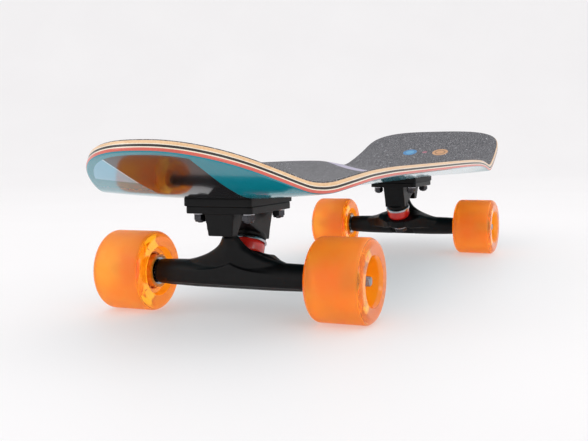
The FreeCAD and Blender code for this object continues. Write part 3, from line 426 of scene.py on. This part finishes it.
def grip():
    m = Mat("grip_grit")
    x, y, z = m.xyz()
    xm, ym = m.math("MULTIPLY", x, 1000.0), m.math("MULTIPLY", y, 1000.0)
    fine = m.noise(1050, 3, 0.7)
    grit = m.cells(760)
    base = m.ramp(m.math("ADD", m.math("MULTIPLY", fine, 0.7), m.math("MULTIPLY", grit, 0.35)),
                  [(0.32, srgb(24, 24, 28)), (0.51, srgb(60, 61, 66)), (0.72, srgb(168, 168, 174))])
    # painted glint: a few grit grains get a bright grey base colour where facets would catch the light
    painted_glint = m.math("GREATER_THAN", m.cells(560, out="Color"), 0.94)
    base = m.mix(m.math("MULTIPLY", painted_glint, 0.65), base, srgb(214, 214, 220))
    dust = m.noise((10, 14, 10), 4, 0.6)
    base = m.mix(m.math("MULTIPLY", m.math("SUBTRACT", dust, 0.45, clamp=True), 0.35), base,
                 srgb(112, 112, 118))

    def disc(cx, cy, r, ratio=1.0):
        dx = m.math("SUBTRACT", xm, cx)
        dy = m.math("MULTIPLY", m.math("SUBTRACT", ym, cy), ratio)
        dd = m.math("SQRT", m.math("ADD", m.math("MULTIPLY", dx, dx), m.math("MULTIPLY", dy, dy)))
        return m.math("LESS_THAN", m.math("ADD", dd, m.math("MULTIPLY", m.math("SUBTRACT", fine, 0.5), 1.6)), r), dd

    blue, db = disc(-313.4, -21.8, 9.6)
    inner, _ = disc(-313.4, -21.8, 5.4)
    sand, ds = disc(-312.6, 20.8, 10.6)
    ring = m.math("LESS_THAN", m.math("ABSOLUTE", m.math("SUBTRACT", ds, 6.4)), 1.0)
    pink, _ = disc(-313.2, -0.8, 3.2)
    base = m.mix(m.math("MULTIPLY", blue, 0.85), base, srgb(70, 140, 196))
    base = m.mix(m.math("MULTIPLY", inner, 0.5), base, srgb(120, 190, 224))
    base = m.mix(m.math("MULTIPLY", pink, 0.7), base, srgb(190, 110, 130))
    base = m.mix(m.math("MULTIPLY", sand, 0.85), base, srgb(216, 164, 118))
    base = m.mix(m.math("MULTIPLY", m.math("MULTIPLY", ring, sand), 0.6), base, srgb(120, 90, 70))
    # printed chevron across the board ahead of the tail
    edge = m.math("MULTIPLY", m.math("SUBTRACT", fine, 0.5), 2.4)
    ya = m.math("ABSOLUTE", ym)
    lean = m.math("ADD", m.math("ADD", xm, edge), m.math("MULTIPLY", ya, 1.08))
    band = m.math("LESS_THAN", m.math("ABSOLUTE", m.math("SUBTRACT", lean, -106.0)), 15.0)
    tip = m.math("LESS_THAN", ya, 15.0)
    tone = m.mix(m.math("MULTIPLY", tip, m.math("LESS_THAN", ym, 0.0)), srgb(196, 190, 214), srgb(216, 170, 140))
    base = m.mix(m.math("MULTIPLY", band, 0.82), base, tone)
    m.color(base)
    m.rough(grit, 0.55, 0.95)
    m.bump(m.math("ADD", m.math("MULTIPLY", grit, 1.0), fine), 0.75, 0.0006)
    m.set(Sheen_Weight=0.08, Sheen_Roughness=0.5)
    return m.m


M_GRIP = grip()


def metal(name, light, dark, rough=(0.25, 0.42), scale=600, brushed=None, bump=0.05,
          metallic=1.0, coat=0.0):
    m = Mat(name)
    s = brushed or scale
    n = m.noise(s, 4, 0.6)
    w = m.noise(90, 3, 0.5)
    m.color(m.ramp(m.math("ADD", m.math("MULTIPLY", n, 0.5), m.math("MULTIPLY", w, 0.5)),
                   [(0.3, dark), (0.7, light)]))
    m.rough(n, *rough)
    m.bump(n, bump, 0.0001)
    m.set(Metallic=metallic, Coat_Weight=coat, Coat_Roughness=0.1)
    return m.m


def cast():
    """Satin black paint over a cast surface."""
    m = Mat("cast_black")
    grain = m.noise(1500, 4, 0.65)
    lumps = m.noise(160, 3, 0.5)
    m.color(m.ramp(lumps, [(0.3, srgb(7, 7, 8)), (0.7, srgb(14, 14, 15))]))
    m.rough(grain, 0.36, 0.52)
    m.bump(m.math("ADD", m.math("MULTIPLY", grain, 0.5), lumps), 0.16, 0.0003)
    m.p.inputs["Specular IOR Level"].default_value = 0.2
    return m.m


M_CAST = cast()
M_BLACK_STEEL = metal("black_steel", srgb(92, 92, 96), srgb(44, 44, 47), (0.24, 0.4), 900)
M_STEEL = metal("bright_steel", srgb(200, 200, 204), srgb(160, 160, 166), (0.16, 0.32), 700)
M_AXLE = metal("axle_steel", srgb(176, 176, 182), srgb(126, 126, 132), (0.22, 0.36), 900)
M_SHIELD = metal("shield_steel", srgb(200, 198, 196), srgb(150, 148, 148), (0.2, 0.34), 500)


def riser():
    m = Mat("riser_plastic")
    n = m.noise(1100, 4, 0.6)
    w = m.noise(60, 3, 0.5)
    m.color(m.ramp(w, [(0.3, srgb(9, 9, 10)), (0.7, srgb(17, 17, 18))]))
    m.rough(n, 0.42, 0.62)
    m.bump(n, 0.2, 0.0002)
    m.p.inputs["Specular IOR Level"].default_value = 0.22
    return m.m


M_RISER = riser()


def bushing():
    m = Mat("bushing_urethane")
    w = m.noise(120, 3, 0.5)
    m.color(m.ramp(w, [(0.3, srgb(206, 30, 26)), (0.7, srgb(232, 52, 40))]))
    m.rough(m.noise(700, 3, 0.5), 0.16, 0.28)
    m.bump(w, 0.05, 0.0003)
    m.set(Subsurface_Weight=0.25, Subsurface_Scale=0.004, Coat_Weight=0.4, Coat_Roughness=0.08)
    m.p.inputs["Subsurface Radius"].default_value = (1.0, 0.2, 0.1)
    return m.m


M_BUSH = bushing()


def urethane():
    """Clear orange cast urethane: the ground tread is frosted, the moulded lips
    and faces are smooth. A faint orange emission paints in a glow for light
    scattered through it."""
    m = Mat("wheel_urethane")
    x, y, z = m.xyz()
    rad = m.add("ShaderNodeAttribute", attribute_name="tread").outputs["Fac"]
    cloud = m.noise(55, 3, 0.5)
    fine = m.noise(1600, 3, 0.6)
    clear = m.ramp(cloud, [(0.3, srgb(255, 184, 34)), (0.7, srgb(255, 194, 52))])
    frost = m.ramp(cloud, [(0.3, srgb(250, 150, 24)), (0.7, srgb(255, 166, 42))])
    m.color(m.mix(rad, clear, frost))
    r = m.math("ADD", m.math("MULTIPLY", rad, 0.42), m.math("MULTIPLY", fine, 0.08))
    m.wire(m.math("ADD", r, 0.04), m.p.inputs["Roughness"])
    m.bump(m.math("MULTIPLY", fine, rad), 0.12, 0.0002)
    m.wire(m.math("MULTIPLY_ADD", rad, -0.40, 0.96), m.p.inputs["Transmission Weight"])
    # painted glow: orange emission stands in for light scattered through the urethane
    m.wire(m.mix(rad, srgb(255, 140, 0), srgb(255, 128, 20)), m.p.inputs["Emission Color"])
    m.p.inputs["Emission Strength"].default_value = 0.13
    m.set(IOR=1.5, Subsurface_Weight=0.9, Subsurface_Scale=0.012)
    m.p.inputs["Subsurface Radius"].default_value = (1.0, 0.45, 0.08)
    return m.m


M_URE = urethane()


def core_mat():
    m = Mat("wheel_core")
    w = m.noise(150, 3, 0.5)
    m.color(m.ramp(w, [(0.3, srgb(232, 134, 34)), (0.7, srgb(250, 160, 54))]))
    m.rough(w, 0.22, 0.34)
    m.bump(m.noise(600, 3, 0.5), 0.05, 0.0002)
    m.set(Subsurface_Weight=0.4, Subsurface_Scale=0.004)
    m.p.inputs["Subsurface Radius"].default_value = (1.0, 0.4, 0.1)
    return m.m


M_CORE = core_mat()
M_CAGE = core_mat()
M_CAGE.name = "ball_cage"


# ---------------------------------------------------------------- deck surface
HALF = [(-400, 90.29), (-350, 94.3), (-300, 98.01), (-250, 100.95),
        (-200, 103.1), (-150, 104.73), (-100, 105.83), (-50, 106.2),
        (0, 105.78), (50, 104.9), (100, 103.89), (150, 102.74),
        (200, 101.26), (250, 99.55), (300, 98.06), (350, 96.97), (400, 96.1)]
KICK = [(-410, 158.6), (-400, 153.4), (-375, 141.6), (-350, 129.7),
        (-325, 119.9), (-305, 112.2), (-290, 107.0), (-275, 103.1),
        (-262, 101.7), (-250, 101.6), (-150, 101.6), (0, 101.6),
        (150, 101.6), (250, 101.6), (262, 102.2), (275, 104.4),
        (290, 108.9), (305, 114.2), (330, 124.5), (360, 137.5), (380, 147.5)]
DISH = [(-410, -3.4), (-400, -3.0), (-360, -1.8), (-330, -0.9),
        (-305, 1.2), (-285, 3.4), (-262, 7.0), (-230, 11.2),
        (-190, 13.4), (-130, 13.9), (0, 13.7), (130, 13.8), (185, 12.6),
        (230, 9.4), (262, 5.6), (285, 3.2), (305, 4.4), (330, 5.8),
        (380, 8.2)]


def pchip(table):
    xs, ys = [p[0] for p in table], [p[1] for p in table]
    n = len(xs)
    hs = [xs[i + 1] - xs[i] for i in range(n - 1)]
    dl = [(ys[i + 1] - ys[i]) / hs[i] for i in range(n - 1)]
    m = [dl[0]] + [0.0] * (n - 2) + [dl[-1]]
    for i in range(1, n - 1):
        if dl[i - 1] * dl[i] > 0:
            w1, w2 = 2 * hs[i] + hs[i - 1], hs[i] + 2 * hs[i - 1]
            m[i] = (w1 + w2) / (w1 / dl[i - 1] + w2 / dl[i])

    def f(x):
        i = 0
        while i < n - 2 and x > xs[i + 1]:
            i += 1
        u = (x - xs[i]) / hs[i]
        return (ys[i] * (1 + 2 * u) * (1 - u) ** 2 + hs[i] * m[i] * u * (1 - u) ** 2
                + ys[i + 1] * u * u * (3 - 2 * u) + hs[i] * m[i + 1] * u * u * (u - 1))

    return f


half_at, kick_at, dish_at = pchip(HALF), pchip(KICK), pchip(DISH)
FLAT = 102.2
NS, TS, NE, TE = 225.2, -338.2, 360.2, -397.5


def skin(x, y):
    return kick_at(x) + dish_at(x) * (abs(y) / 105.0) ** 2.2


def skin_normal(x, y):
    e = 0.5
    n = np.array([-(skin(x + e, y) - skin(x - e, y)) / (2 * e),
                  -(skin(x, y + e) - skin(x, y - e)) / (2 * e), 1.0])
    return n / np.linalg.norm(n)


def soft_max(a, b, k=0.5):
    """The larger of two heights, blended where they cross so no crease shows."""
    h = max(k - abs(a - b), 0.0) / k
    return max(a, b) + h * h * k * 0.25


def at_level(x, y, drop):
    """The point below (or above, if negative) the top skin by drop, along its
    normal, kept up to the flat strip between the rails."""
    n = skin_normal(x, y)
    p = np.array([x, y, skin(x, y)]) - n * drop
    flat = FLAT - drop
    if abs(x) < 272:
        p[2] = soft_max(p[2], flat, 0.25)
    return p


def outline(inset, fine=3):
    ne, te = NE - inset, TE + inset
    pts = []
    nt, nb, nn = 15 * fine, 40 * fine, 18 * fine
    for i in range(1, nt + 1):
        a = math.pi / 2 * (1 - i / nt)
        x = TS + (te - TS) * math.sin(a) ** (2 / 3.77)
        pts.append((x, (half_at(x) - inset) * max(math.cos(a), 0) ** (2 / 3.9)))
    for i in range(1, nb):
        x = TS + (NS - TS) * i / nb
        pts.append((x, half_at(x) - inset))
    for i in range(0, nn):
        a = math.pi / 2 * i / nn
        x = NS + (ne - NS) * math.sin(a) ** (2 / 1.5)
        pts.append((x, (half_at(x) - inset) * max(math.cos(a), 0) ** (2 / 2.4)))
    loop = [(te, 0.0)] + pts + [(ne, 0.0)] + [(x, -y) for x, y in reversed(pts)]
    # even spacing along the loop keeps the mesh regular
    arr = np.array(loop + [loop[0]], float)
    seg = np.linalg.norm(np.diff(arr, axis=0), axis=1)
    cum = np.concatenate([[0], np.cumsum(seg)])
    count = 640
    t = np.linspace(0, cum[-1], count, endpoint=False)
    return np.stack([np.interp(t, cum, arr[:, 0]), np.interp(t, cum, arr[:, 1])], 1)


SPINE = (TS + 20.0, NS + 40.0)


def loops(inset, steps):
    """Plan loops from the outline in to the board's middle line."""
    out = outline(inset)
    sp = np.stack([np.clip(out[:, 0], *SPINE), np.zeros(len(out))], 1)
    return [sp + (out - sp) * k for k in steps]


STEPS = [1.0, 0.985, 0.955, 0.91, 0.86, 0.80, 0.74, 0.68, 0.62, 0.56, 0.5, 0.44,
         0.38, 0.32, 0.26, 0.2, 0.14, 0.08, 0.03]
PLIES = [(2.4, M_TAN), (3.0, M_CREAM), (4.7, M_DARK), (5.5, M_CREAM), (7.6, M_CORAL),
         (8.0, M_UNDER)]


def deck_mesh():
    """Laminated deck: top and bottom skins and the rounded, sanded edge."""
    mats = [M_TAN, M_CREAM, M_DARK, M_CORAL, M_UNDER]
    verts, faces, index = [], [], []
    count = 640

    def add_row(pts):
        base = len(verts)
        verts.extend([tuple(p * MM) for p in pts])
        return base

    def strip(a, b, mat, flip):
        for j in range(count):
            k = (j + 1) % count
            q = (a + j, a + k, b + k, b + j)
            faces.append(q[::-1] if flip else q)
            index.append(mat)

    outer = outline(0.0)
    rim = []
    # edge profile: (how far in from the outline, drop)
    r_top, r_low = 0.9, 1.8
    prof = []
    for i in range(5):
        a = math.pi / 2 * i / 4
        prof.append((r_top * (1 - math.sin(a)), r_top * (1 - math.cos(a))))
    for lim in (2.4, 3.0, 4.7, 5.5):
        prof.append((0.0, lim))
    for i in range(7):
        a = math.pi / 2 * i / 6
        prof.append((r_low * (1 - math.cos(a)), 8 - r_low + r_low * math.sin(a)))
    cen = np.stack([np.clip(outer[:, 0], *SPINE), np.zeros(len(outer))], 1)
    dirs = cen - outer
    # inward direction square to the outline
    tan = np.roll(outer, -1, 0) - np.roll(outer, 1, 0)
    nrm = np.stack([-tan[:, 1], tan[:, 0]], 1)
    nrm /= np.linalg.norm(nrm, axis=1)[:, None]
    flip = np.sign((nrm * dirs).sum(1))
    nrm *= flip[:, None]
    rows = []
    for inset, drop in prof:
        pts = []
        for (x, y), (nx, ny) in zip(outer, nrm):
            xi, yi = x + nx * inset, y + ny * inset
            n = skin_normal(x, y)
            top = np.array([xi, yi, skin(xi, yi)])
            pts.append(top - n * drop)
        rows.append((drop, add_row(pts)))
        rim += [0.0] * count
    for (d0, a), (d1, b) in zip(rows, rows[1:]):
        mid = (d0 + d1) / 2
        for lim, mt in PLIES:
            if mid <= lim:
                break
        strip(a, b, mats.index(mt), False)
    # skins
    for drop, inset, mat, fl, first in ((0.0, r_top, M_TAN, True, rows[0][1]),
                                        (8.0, r_low, M_UNDER, False, rows[-1][1])):
        prev = first
        start = outer + nrm * inset
        for k in STEPS[1:]:
            pl = cen + (start - cen) * k
            b = add_row([at_level(x, y, drop) for x, y in pl])
            rim += list(np.linalg.norm(start - cen, axis=1) * (1 - k) + inset)
            strip(prev, b, mats.index(mat), fl)
            prev = b
        # close the slit along the middle line
        half = count // 2
        for j in range(half):
            p, q = j, (j + 1)
            m0, m1 = (count - j) % count, (count - j - 1) % count
            quad = [prev + p, prev + q, prev + m1, prev + m0]
            quad = list(dict.fromkeys(quad))
            if len(quad) >= 3:
                faces.append(tuple(quad[::-1] if fl else quad))
                index.append(mats.index(mat))
    ob = mesh_object("deck_laminate", verts, faces, mats, index, None)
    if len(ob.data.vertices) == len(rim):
        ob.data.attributes.new("rim", "FLOAT", "POINT").data.foreach_set("value", rim)
    fix_normals(ob, 40)
    return ob


def grip_mesh():
    count = 640
    verts, faces = [], []

    def add_row(pts):
        base = len(verts)
        verts.extend([tuple(p * MM) for p in pts])
        return base

    def strip(a, b):
        for j in range(count):
            k = (j + 1) % count
            faces.append((a + j, a + k, b + k, b + j))

    out = outline(1.05)
    cen = np.stack([np.clip(out[:, 0], *SPINE), np.zeros(len(out))], 1)
    prev = add_row([at_level(x, y, -0.02) for x, y in out])
    for k, h in ((1.0, 0.7), (0.9985, 0.86), (0.985, 0.88)):
        pl = cen + (out - cen) * k
        b = add_row([at_level(x, y, -h) for x, y in pl])
        strip(prev, b)
        prev = b
    for k in STEPS[2:]:
        pl = cen + (out - cen) * k
        b = add_row([at_level(x, y, -0.88) for x, y in pl])
        strip(prev, b)
        prev = b
    half = count // 2
    for j in range(half):
        m0, m1 = (count - j) % count, (count - j - 1) % count
        quad = list(dict.fromkeys([prev + j, prev + j + 1, prev + m1, prev + m0]))
        if len(quad) >= 3:
            faces.append(tuple(quad))
    # underside of the sheet, just above the wood
    prev = 0
    for k in STEPS[2:]:
        b = add_row([at_level(x, y, -0.02) for x, y in cen + (out - cen) * k])
        strip(b, prev)
        prev = b
    for j in range(half):
        m0, m1 = (count - j) % count, (count - j - 1) % count
        quad = list(dict.fromkeys([prev + j, prev + j + 1, prev + m1, prev + m0]))
        if len(quad) >= 3:
            faces.append(tuple(quad[::-1]))
    ob = mesh_object("grip_sheet", verts, faces, [M_GRIP], None, None)
    fix_normals(ob, 50)
    return ob


def shifted(ob):
    ob.data.transform(Matrix.Translation((SHIFT * MM, 0, 0)))
    return ob


def drilled(ob, outline_rz, sharp):
    """Cuts the eight mounting holes."""
    cuts = []
    for end, s in ENDS:
        for sx in (1, -1):
            for sy in (1, -1):
                x = SHIFT + s * (HALF_BASE - 9.9 + sx * 53.98 / 2)
                cuts.append(lathe(outline_rz, 40, "cut", [ob.data.materials[0]], sharp,
                                  Matrix.Translation((x * MM, sy * 41.3 / 2 * MM, 0))))
    tool = join("hole_cutter", cuts, sharp)
    mod = ob.modifiers.new("holes", "BOOLEAN")
    mod.operation, mod.solver, mod.object = "DIFFERENCE", "EXACT", tool
    bpy.context.view_layer.update()
    done = bpy.data.meshes.new_from_object(ob.evaluated_get(bpy.context.evaluated_depsgraph_get()))
    ob.modifiers.clear()
    if len(done.polygons) > len(ob.data.polygons):
        ob.data = done
        fix_normals(ob, sharp)
    bpy.data.objects.remove(tool)
    return ob


deck = shifted(deck_mesh())
drilled(deck, [(0, 92.0), (2.6, 92.0), (2.6, 99.9), (4.85, 102.2), (4.85, 104.0), (0, 104.0)], 40)
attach(deck, "root"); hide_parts("deck")
sheet = shifted(grip_mesh())
drilled(sheet, [(0, 101.0), (4.9, 101.0), (4.9, 105.0), (0, 105.0)], 50)
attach(sheet, "root"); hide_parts("grip_tape")

# ----------------------------------------------------------- deck bolts, nuts
bolts, nuts = [], []
for end, s in ENDS:
    for sx in (1, -1):
        for sy in (1, -1):
            x = SHIFT + s * (HALF_BASE - 9.9 + sx * 53.98 / 2)
            at = Matrix.Translation((x * MM, sy * 41.3 / 2 * MM, 0))
            # countersunk head with a cross recess
            seg = 40
            rings = []

            def ring(f, h):
                rings.append([(f(2 * math.pi * j / seg), h(2 * math.pi * j / seg), 2 * math.pi * j / seg)
                              for j in range(seg)])

            def cross(a, r):
                k = abs((a + math.pi / 4) % (math.pi / 2) - math.pi / 4)
                return r * (1.0 if k < 0.26 else 0.34 + 0.10 * math.cos((k - 0.26) * 3))

            ring(lambda a: 2.38, lambda a: 99.6)
            ring(lambda a: 4.3, lambda a: 101.75)
            ring(lambda a: 4.38, lambda a: 101.95)
            ring(lambda a: 4.2, lambda a: 102.12)
            ring(lambda a: cross(a, 2.75), lambda a: 102.14)
            ring(lambda a: cross(a, 2.5), lambda a: 101.4)
            ring(lambda a: cross(a, 1.2) * 0.8, lambda a: 100.4)
            verts, faces = [], []
            for r in rings:
                for rad, h, a in r:
                    verts.append((rad * MM * math.cos(a), rad * MM * math.sin(a), h * MM))
            for i in range(len(rings) - 1):
                for j in range(seg):
                    k = (j + 1) % seg
                    faces.append((i * seg + j, i * seg + k, (i + 1) * seg + k, (i + 1) * seg + j))
            faces.append(tuple((len(rings) - 1) * seg + j for j in range(seg)))
            faces.append(tuple(range(seg))[::-1])
            head = mesh_object("tmp", verts, faces, [M_BLACK_STEEL], None, None)
            head.data.transform(at)
            fix_normals(head, 30)
            shank = threaded("tmp2", 2.38, 0.32, 0.8, 74.62, 99.7, [M_BLACK_STEEL], at, 20)
            bolts += [head, shank]
            nuts.append(hex_nut("tmp3", 9.5, 2.5, 76.75, 81.0, [M_BLACK_STEEL], at, lead=0.3)
                        )
            nuts.append(lathe(rounded([(2.5, 75.3), (4.2, 75.3, 0.5), (4.3, 76.8), (2.5, 76.8)], 4),
                              32, "tmp4", [M_BLACK_STEEL], 35, at))
            nuts.append(lathe(rounded([(2.5, 81.1), (5.2, 81.1, 0.2), (5.2, 82.05, 0.2), (2.5, 82.05)], 3),
                              32, "tmp5", [M_STEEL], 35, at))
bolts = join("deck_bolts", bolts, 40)
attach(bolts, "root"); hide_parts("mounting_bolts")
nuts = join("deck_locknuts", nuts, 30)
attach(nuts, "root"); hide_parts("mounting_nuts")


# ---------------------------------------------------------------- cast trucks
def cast_copy(node, name, voxel, rounds, mat, body):
    """A fine, softened copy of a casting: sand-cast corners are never sharp."""
    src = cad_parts[node]
    me = src.data.copy()
    ob = bpy.data.objects.new(name, me)
    COL.objects.link(ob)
    me.materials.clear()
    me.materials.append(mat)
    r = ob.modifiers.new("remesh", "REMESH")
    r.mode, r.voxel_size, r.use_smooth_shade = "VOXEL", voxel, True
    sm = ob.modifiers.new("soften", "SMOOTH")
    sm.factor, sm.iterations = 0.5, rounds
    bpy.context.view_layer.update()
    dg = bpy.context.evaluated_depsgraph_get()
    done = bpy.data.meshes.new_from_object(ob.evaluated_get(dg))
    ob.modifiers.clear()
    ob.data = done
    done.materials.clear()
    done.materials.append(mat)
    done.polygons.foreach_set("use_smooth", [True] * len(done.polygons))
    done.polygons.foreach_set("material_index", [0] * len(done.polygons))
    done.update()
    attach(ob, body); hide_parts(node)
    return ob


for end, s in ENDS:
    cast_copy(end + "_hanger", end + "_hanger_casting", 0.0007, 9, M_CAST, end + "_truck")
    cast_copy(end + "_baseplate", end + "_baseplate_casting", 0.0006, 5, M_CAST, "root")
    cast_copy(end + "_riser_pad", end + "_riser", 0.0006, 3, M_RISER, "root")

    kp = kingpin_at(s)
    # bushings with moulded rims
    up = lathe(rounded([(5.5, -6.1), (12.2, -6.1, 1.2), (13.35, -3.2, 2.5), (13.37, -0.3), (13.35, 2.6, 2.5),
                        (12.0, 6.5, 1.2), (5.5, 6.5)], 6), 96, end + "_upper_bushing_cast", [M_BUSH], 40, kp)
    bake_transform(up)
    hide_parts(end + "_upper_bushing")
    lo = lathe(rounded([(5.5, -19.15), (8.9, -19.15, 0.9), (9.9, -17.6, 1.4), (11.3, -13.4, 1.4),
                        (10.8, -11.3, 0.8), (5.5, -11.3)], 6), 96, end + "_lower_bushing_cast", [M_BUSH], 40, kp)
    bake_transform(lo)
    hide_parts(end + "_lower_bushing")
    wa = lathe(rounded([(4.9, 6.62), (11.9, 6.62, 0.6), (13.55, 4.85, 0.1), (14.38, 4.85, 0.3),
                        (13.9, 6.9, 0.7), (12.6, 7.88, 0.7), (4.9, 7.88, 0.2)], 4), 96, "tmp", [M_STEEL], 40, kp)
    wb = lathe(rounded([(4.9, -20.38), (9.38, -20.38, 0.3), (9.38, -19.22, 0.3), (4.9, -19.22)], 3),
               72, "tmp2", [M_STEEL], 40, kp)
    w = join(end + "_washers", [wa, wb], 40)
    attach(w, "root"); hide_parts(end + "_bushing_washers")
    kn = hex_nut(end + "_kingpin_locknut", 14.0, 4.8, -26.6, -20.45, [M_BLACK_STEEL],
                 kp @ Matrix.Rotation(0.0, 4, "Z"), crown=None)
    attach(kn, "root"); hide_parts(end + "_kingpin_nut")
    shank = threaded("tmp", 4.75, 0.45, 1.25, -28.3, -11.0, [M_BLACK_STEEL], kp, 32)
    rest = lathe([(0, -11.0), (4.74, -11.0), (4.74, 22.5), (0, 22.5)], 40, "tmp2", [M_BLACK_STEEL], 40, kp)
    hd = hex_nut("tmp3", 10.8, 0.6, 22.0, 26.0, [M_BLACK_STEEL], kp)
    kpin = join(end + "_kingpin_turned", [shank, rest, hd], 40)
    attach(kpin, "root"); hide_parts(end + "_kingpin")

    # axle with threaded ends
    body = end + "_truck"
    ax = axle_at(s, 1)
    mid = lathe([(0, -93.5), (3.95, -93.5), (3.95, 93.5), (0, 93.5)], 48, "tmp", [M_AXLE], 40, ax)
    ends_ = [threaded("tmpa", 3.95, 0.4, 1.06, 93.5, 111.95, [M_AXLE], axle_at(s, side), 36, 0.9)
             for side in (1, -1)]
    a = join(end + "_axle_threaded", [mid] + ends_, 40)
    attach(a, body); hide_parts(end + "_axle")
    nn = []
    for _, side in SIDES:
        at = axle_at(s, side)
        nn.append(hex_nut("tmp", 12.7, 3.99, 95.02, 100.4, [M_STEEL], at, crown=(5.3, 1.9), seg=48))
    nn = join(end + "_axle_locknuts", nn, 25)
    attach(nn, body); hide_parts(end + "_axle_nuts")
    for node, mt in (("speed_rings", M_STEEL), ("axle_spacers", M_AXLE), ("inner_races", M_STEEL)):
        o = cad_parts["%s_%s" % (end, node)]
        o.data.materials.clear(); o.data.materials.append(mt)
    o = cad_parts[end + "_pivot_cup"]
    o.data.materials.clear(); o.data.materials.append(M_RISER)

# --------------------------------------------------------------------- wheels
R, W0, W1, LIP = 32.5, 68.9, 115.4, 11.25
for end, s in ENDS:
    for side_name, side in SIDES:
        pre = "%s_%s_" % (end, side_name)
        body = pre + "wheel"
        at = axle_at(s, side)
        prof = rounded([
            (15.65, 95.1), (15.65, 76.05), (18.8, 74.9, 0.8), (20.2, W0 + 0.6, 0.4),
            (R - 0.02, W0 + 0.02, LIP), (R - 0.02, W1 - 0.02, LIP),
            (20.0, W1 - 0.6, 1.6), (18.2, W1 - 3.2, 1.2)], 14)
        ty = lathe(prof, 160, pre + "urethane", [M_URE], 40, at)
        # frosted tread mask: 1 on the ground running surface, 0 on lips and faces
        att = ty.data.attributes.new("tread", "FLOAT", "POINT")
        inv = at.inverted()
        vals = []
        for v in ty.data.vertices:
            p = inv @ v.co
            rr = math.hypot(p.x, p.y) / MM
            vals.append(max(0.0, min(1.0, (rr - (R - 1.3)) / 0.9)))
        att.data.foreach_set("value", vals)
        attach(ty, body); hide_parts(pre + "tyre")
        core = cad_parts[pre + "wheel_core"]
        core.data.materials.clear(); core.data.materials.append(M_CORE)
        for node, mt in (("outer_races", M_STEEL), ("bearing_balls", M_STEEL),
                         ("bearing_cages", M_CAGE), ("bearing_shields", M_SHIELD)):
            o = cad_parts[pre + node]
            o.data.materials.clear(); o.data.materials.append(mt)

for n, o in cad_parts.items():
    if not o.hide_render:
        o.data.polygons.foreach_set("use_smooth", [True] * len(o.data.polygons))
        o.data.set_sharp_from_angle(angle=math.radians(35))

# ---------------------------------------------------------------- stage, light
def floor_mat():
    m = Mat("studio_sweep")
    n = m.noise(3.0, 2, 0.5)
    m.color(m.ramp(n, [(0.3, (0.57, 0.565, 0.57)), (0.7, (0.59, 0.585, 0.59))]))
    m.rough(n, 0.5, 0.6)
    m.p.inputs["Emission Color"].default_value = (1.0, 0.985, 0.99, 1.0)
    m.p.inputs["Emission Strength"].default_value = 0.34
    m.p.inputs["Specular IOR Level"].default_value = 0.2
    return m.m


def sweep():
    """A seamless sweep: floor running up into a back wall, far side."""
    prof = [(6.0, 0.0), (3.0, 0.0), (0.0, 0.0), (-2.2, 0.0)]
    for i in range(1, 13):
        a = math.pi / 2 * i / 12
        prof.append((-2.2 - 1.6 * math.sin(a), 1.6 * (1 - math.cos(a))))
    prof.append((-3.8, 6.0))
    verts, faces = [], []
    ang = 3.5606 - math.pi
    ca, sa = math.cos(ang), math.sin(ang)
    for t, z in prof:
        for w in (-7.0, -3.5, 0.0, 3.5, 7.0):
            verts.append((t * ca - w * sa, t * sa + w * ca, z - 0.0001 if z == 0 else z))
    for i in range(len(prof) - 1):
        for j in range(4):
            a = i * 5 + j
            faces.append((a, a + 1, a + 6, a + 5))
    ob = mesh_object("studio_floor", verts, faces, [floor_mat()], None, None)
    return ob


sweep()

world = bpy.data.worlds.new("studio")
world.use_nodes = True
bg = world.node_tree.nodes["Background"]
bg.inputs["Color"].default_value = (0.98, 0.972, 0.975, 1)
bg.inputs["Strength"].default_value = 0.95
bpy.context.scene.world = world


def area(name, loc, target, size, power, color=(1, 1, 1)):
    l = bpy.data.lights.new(name, "AREA")
    l.shape, l.size, l.size_y = "RECTANGLE", size[0], size[1]
    l.energy, l.color = power, color
    o = bpy.data.objects.new(name, l)
    COL.objects.link(o)
    o.location = loc
    o.rotation_euler = (Vector(target) - Vector(loc)).to_track_quat("-Z", "Y").to_euler()
    return o


area("overhead", (0.0, 0.1, 1.7), (0.0, 0.0, 0.0), (2.2, 1.8), 5.0)
area("key_left", (1.2, -1.3, 1.0), (0.1, 0.0, 0.05), (0.6, 0.6), 2.4)
area("fill_right", (0.9, 1.5, 0.8), (0.1, 0.0, 0.05), (0.6, 0.5), 1.8)

# -------------------------------------------------------------------- camera
cx, cy, cz = 819.937 + SHIFT, 314.301, 130.014
yaw, pitch, roll, f = 3.560600, -0.0829285, -0.0141506, 857.0015
d = Vector((math.cos(pitch) * math.cos(yaw), math.cos(pitch) * math.sin(yaw), math.sin(pitch)))
r = d.cross(Vector((0, 0, 1))).normalized()
u = r.cross(d)
c, sn = math.cos(roll), math.sin(roll)
right, up = r * c + u * sn, -r * sn + u * c
cam = bpy.data.cameras.new("camera")
cam.sensor_fit, cam.sensor_width, cam.lens = "HORIZONTAL", 36.0, f * 36.0 / 588.0
cam.clip_start, cam.clip_end = 0.01, 50
co = bpy.data.objects.new("camera", cam)
COL.objects.link(co)
co.matrix_world = Matrix(((right.x, up.x, -d.x, cx * MM), (right.y, up.y, -d.y, cy * MM),
                          (right.z, up.z, -d.z, cz * MM), (0, 0, 0, 1)))
bpy.context.scene.camera = co
bpy.context.scene.view_settings.view_transform = "Standard"

bpy.context.view_layer.update()
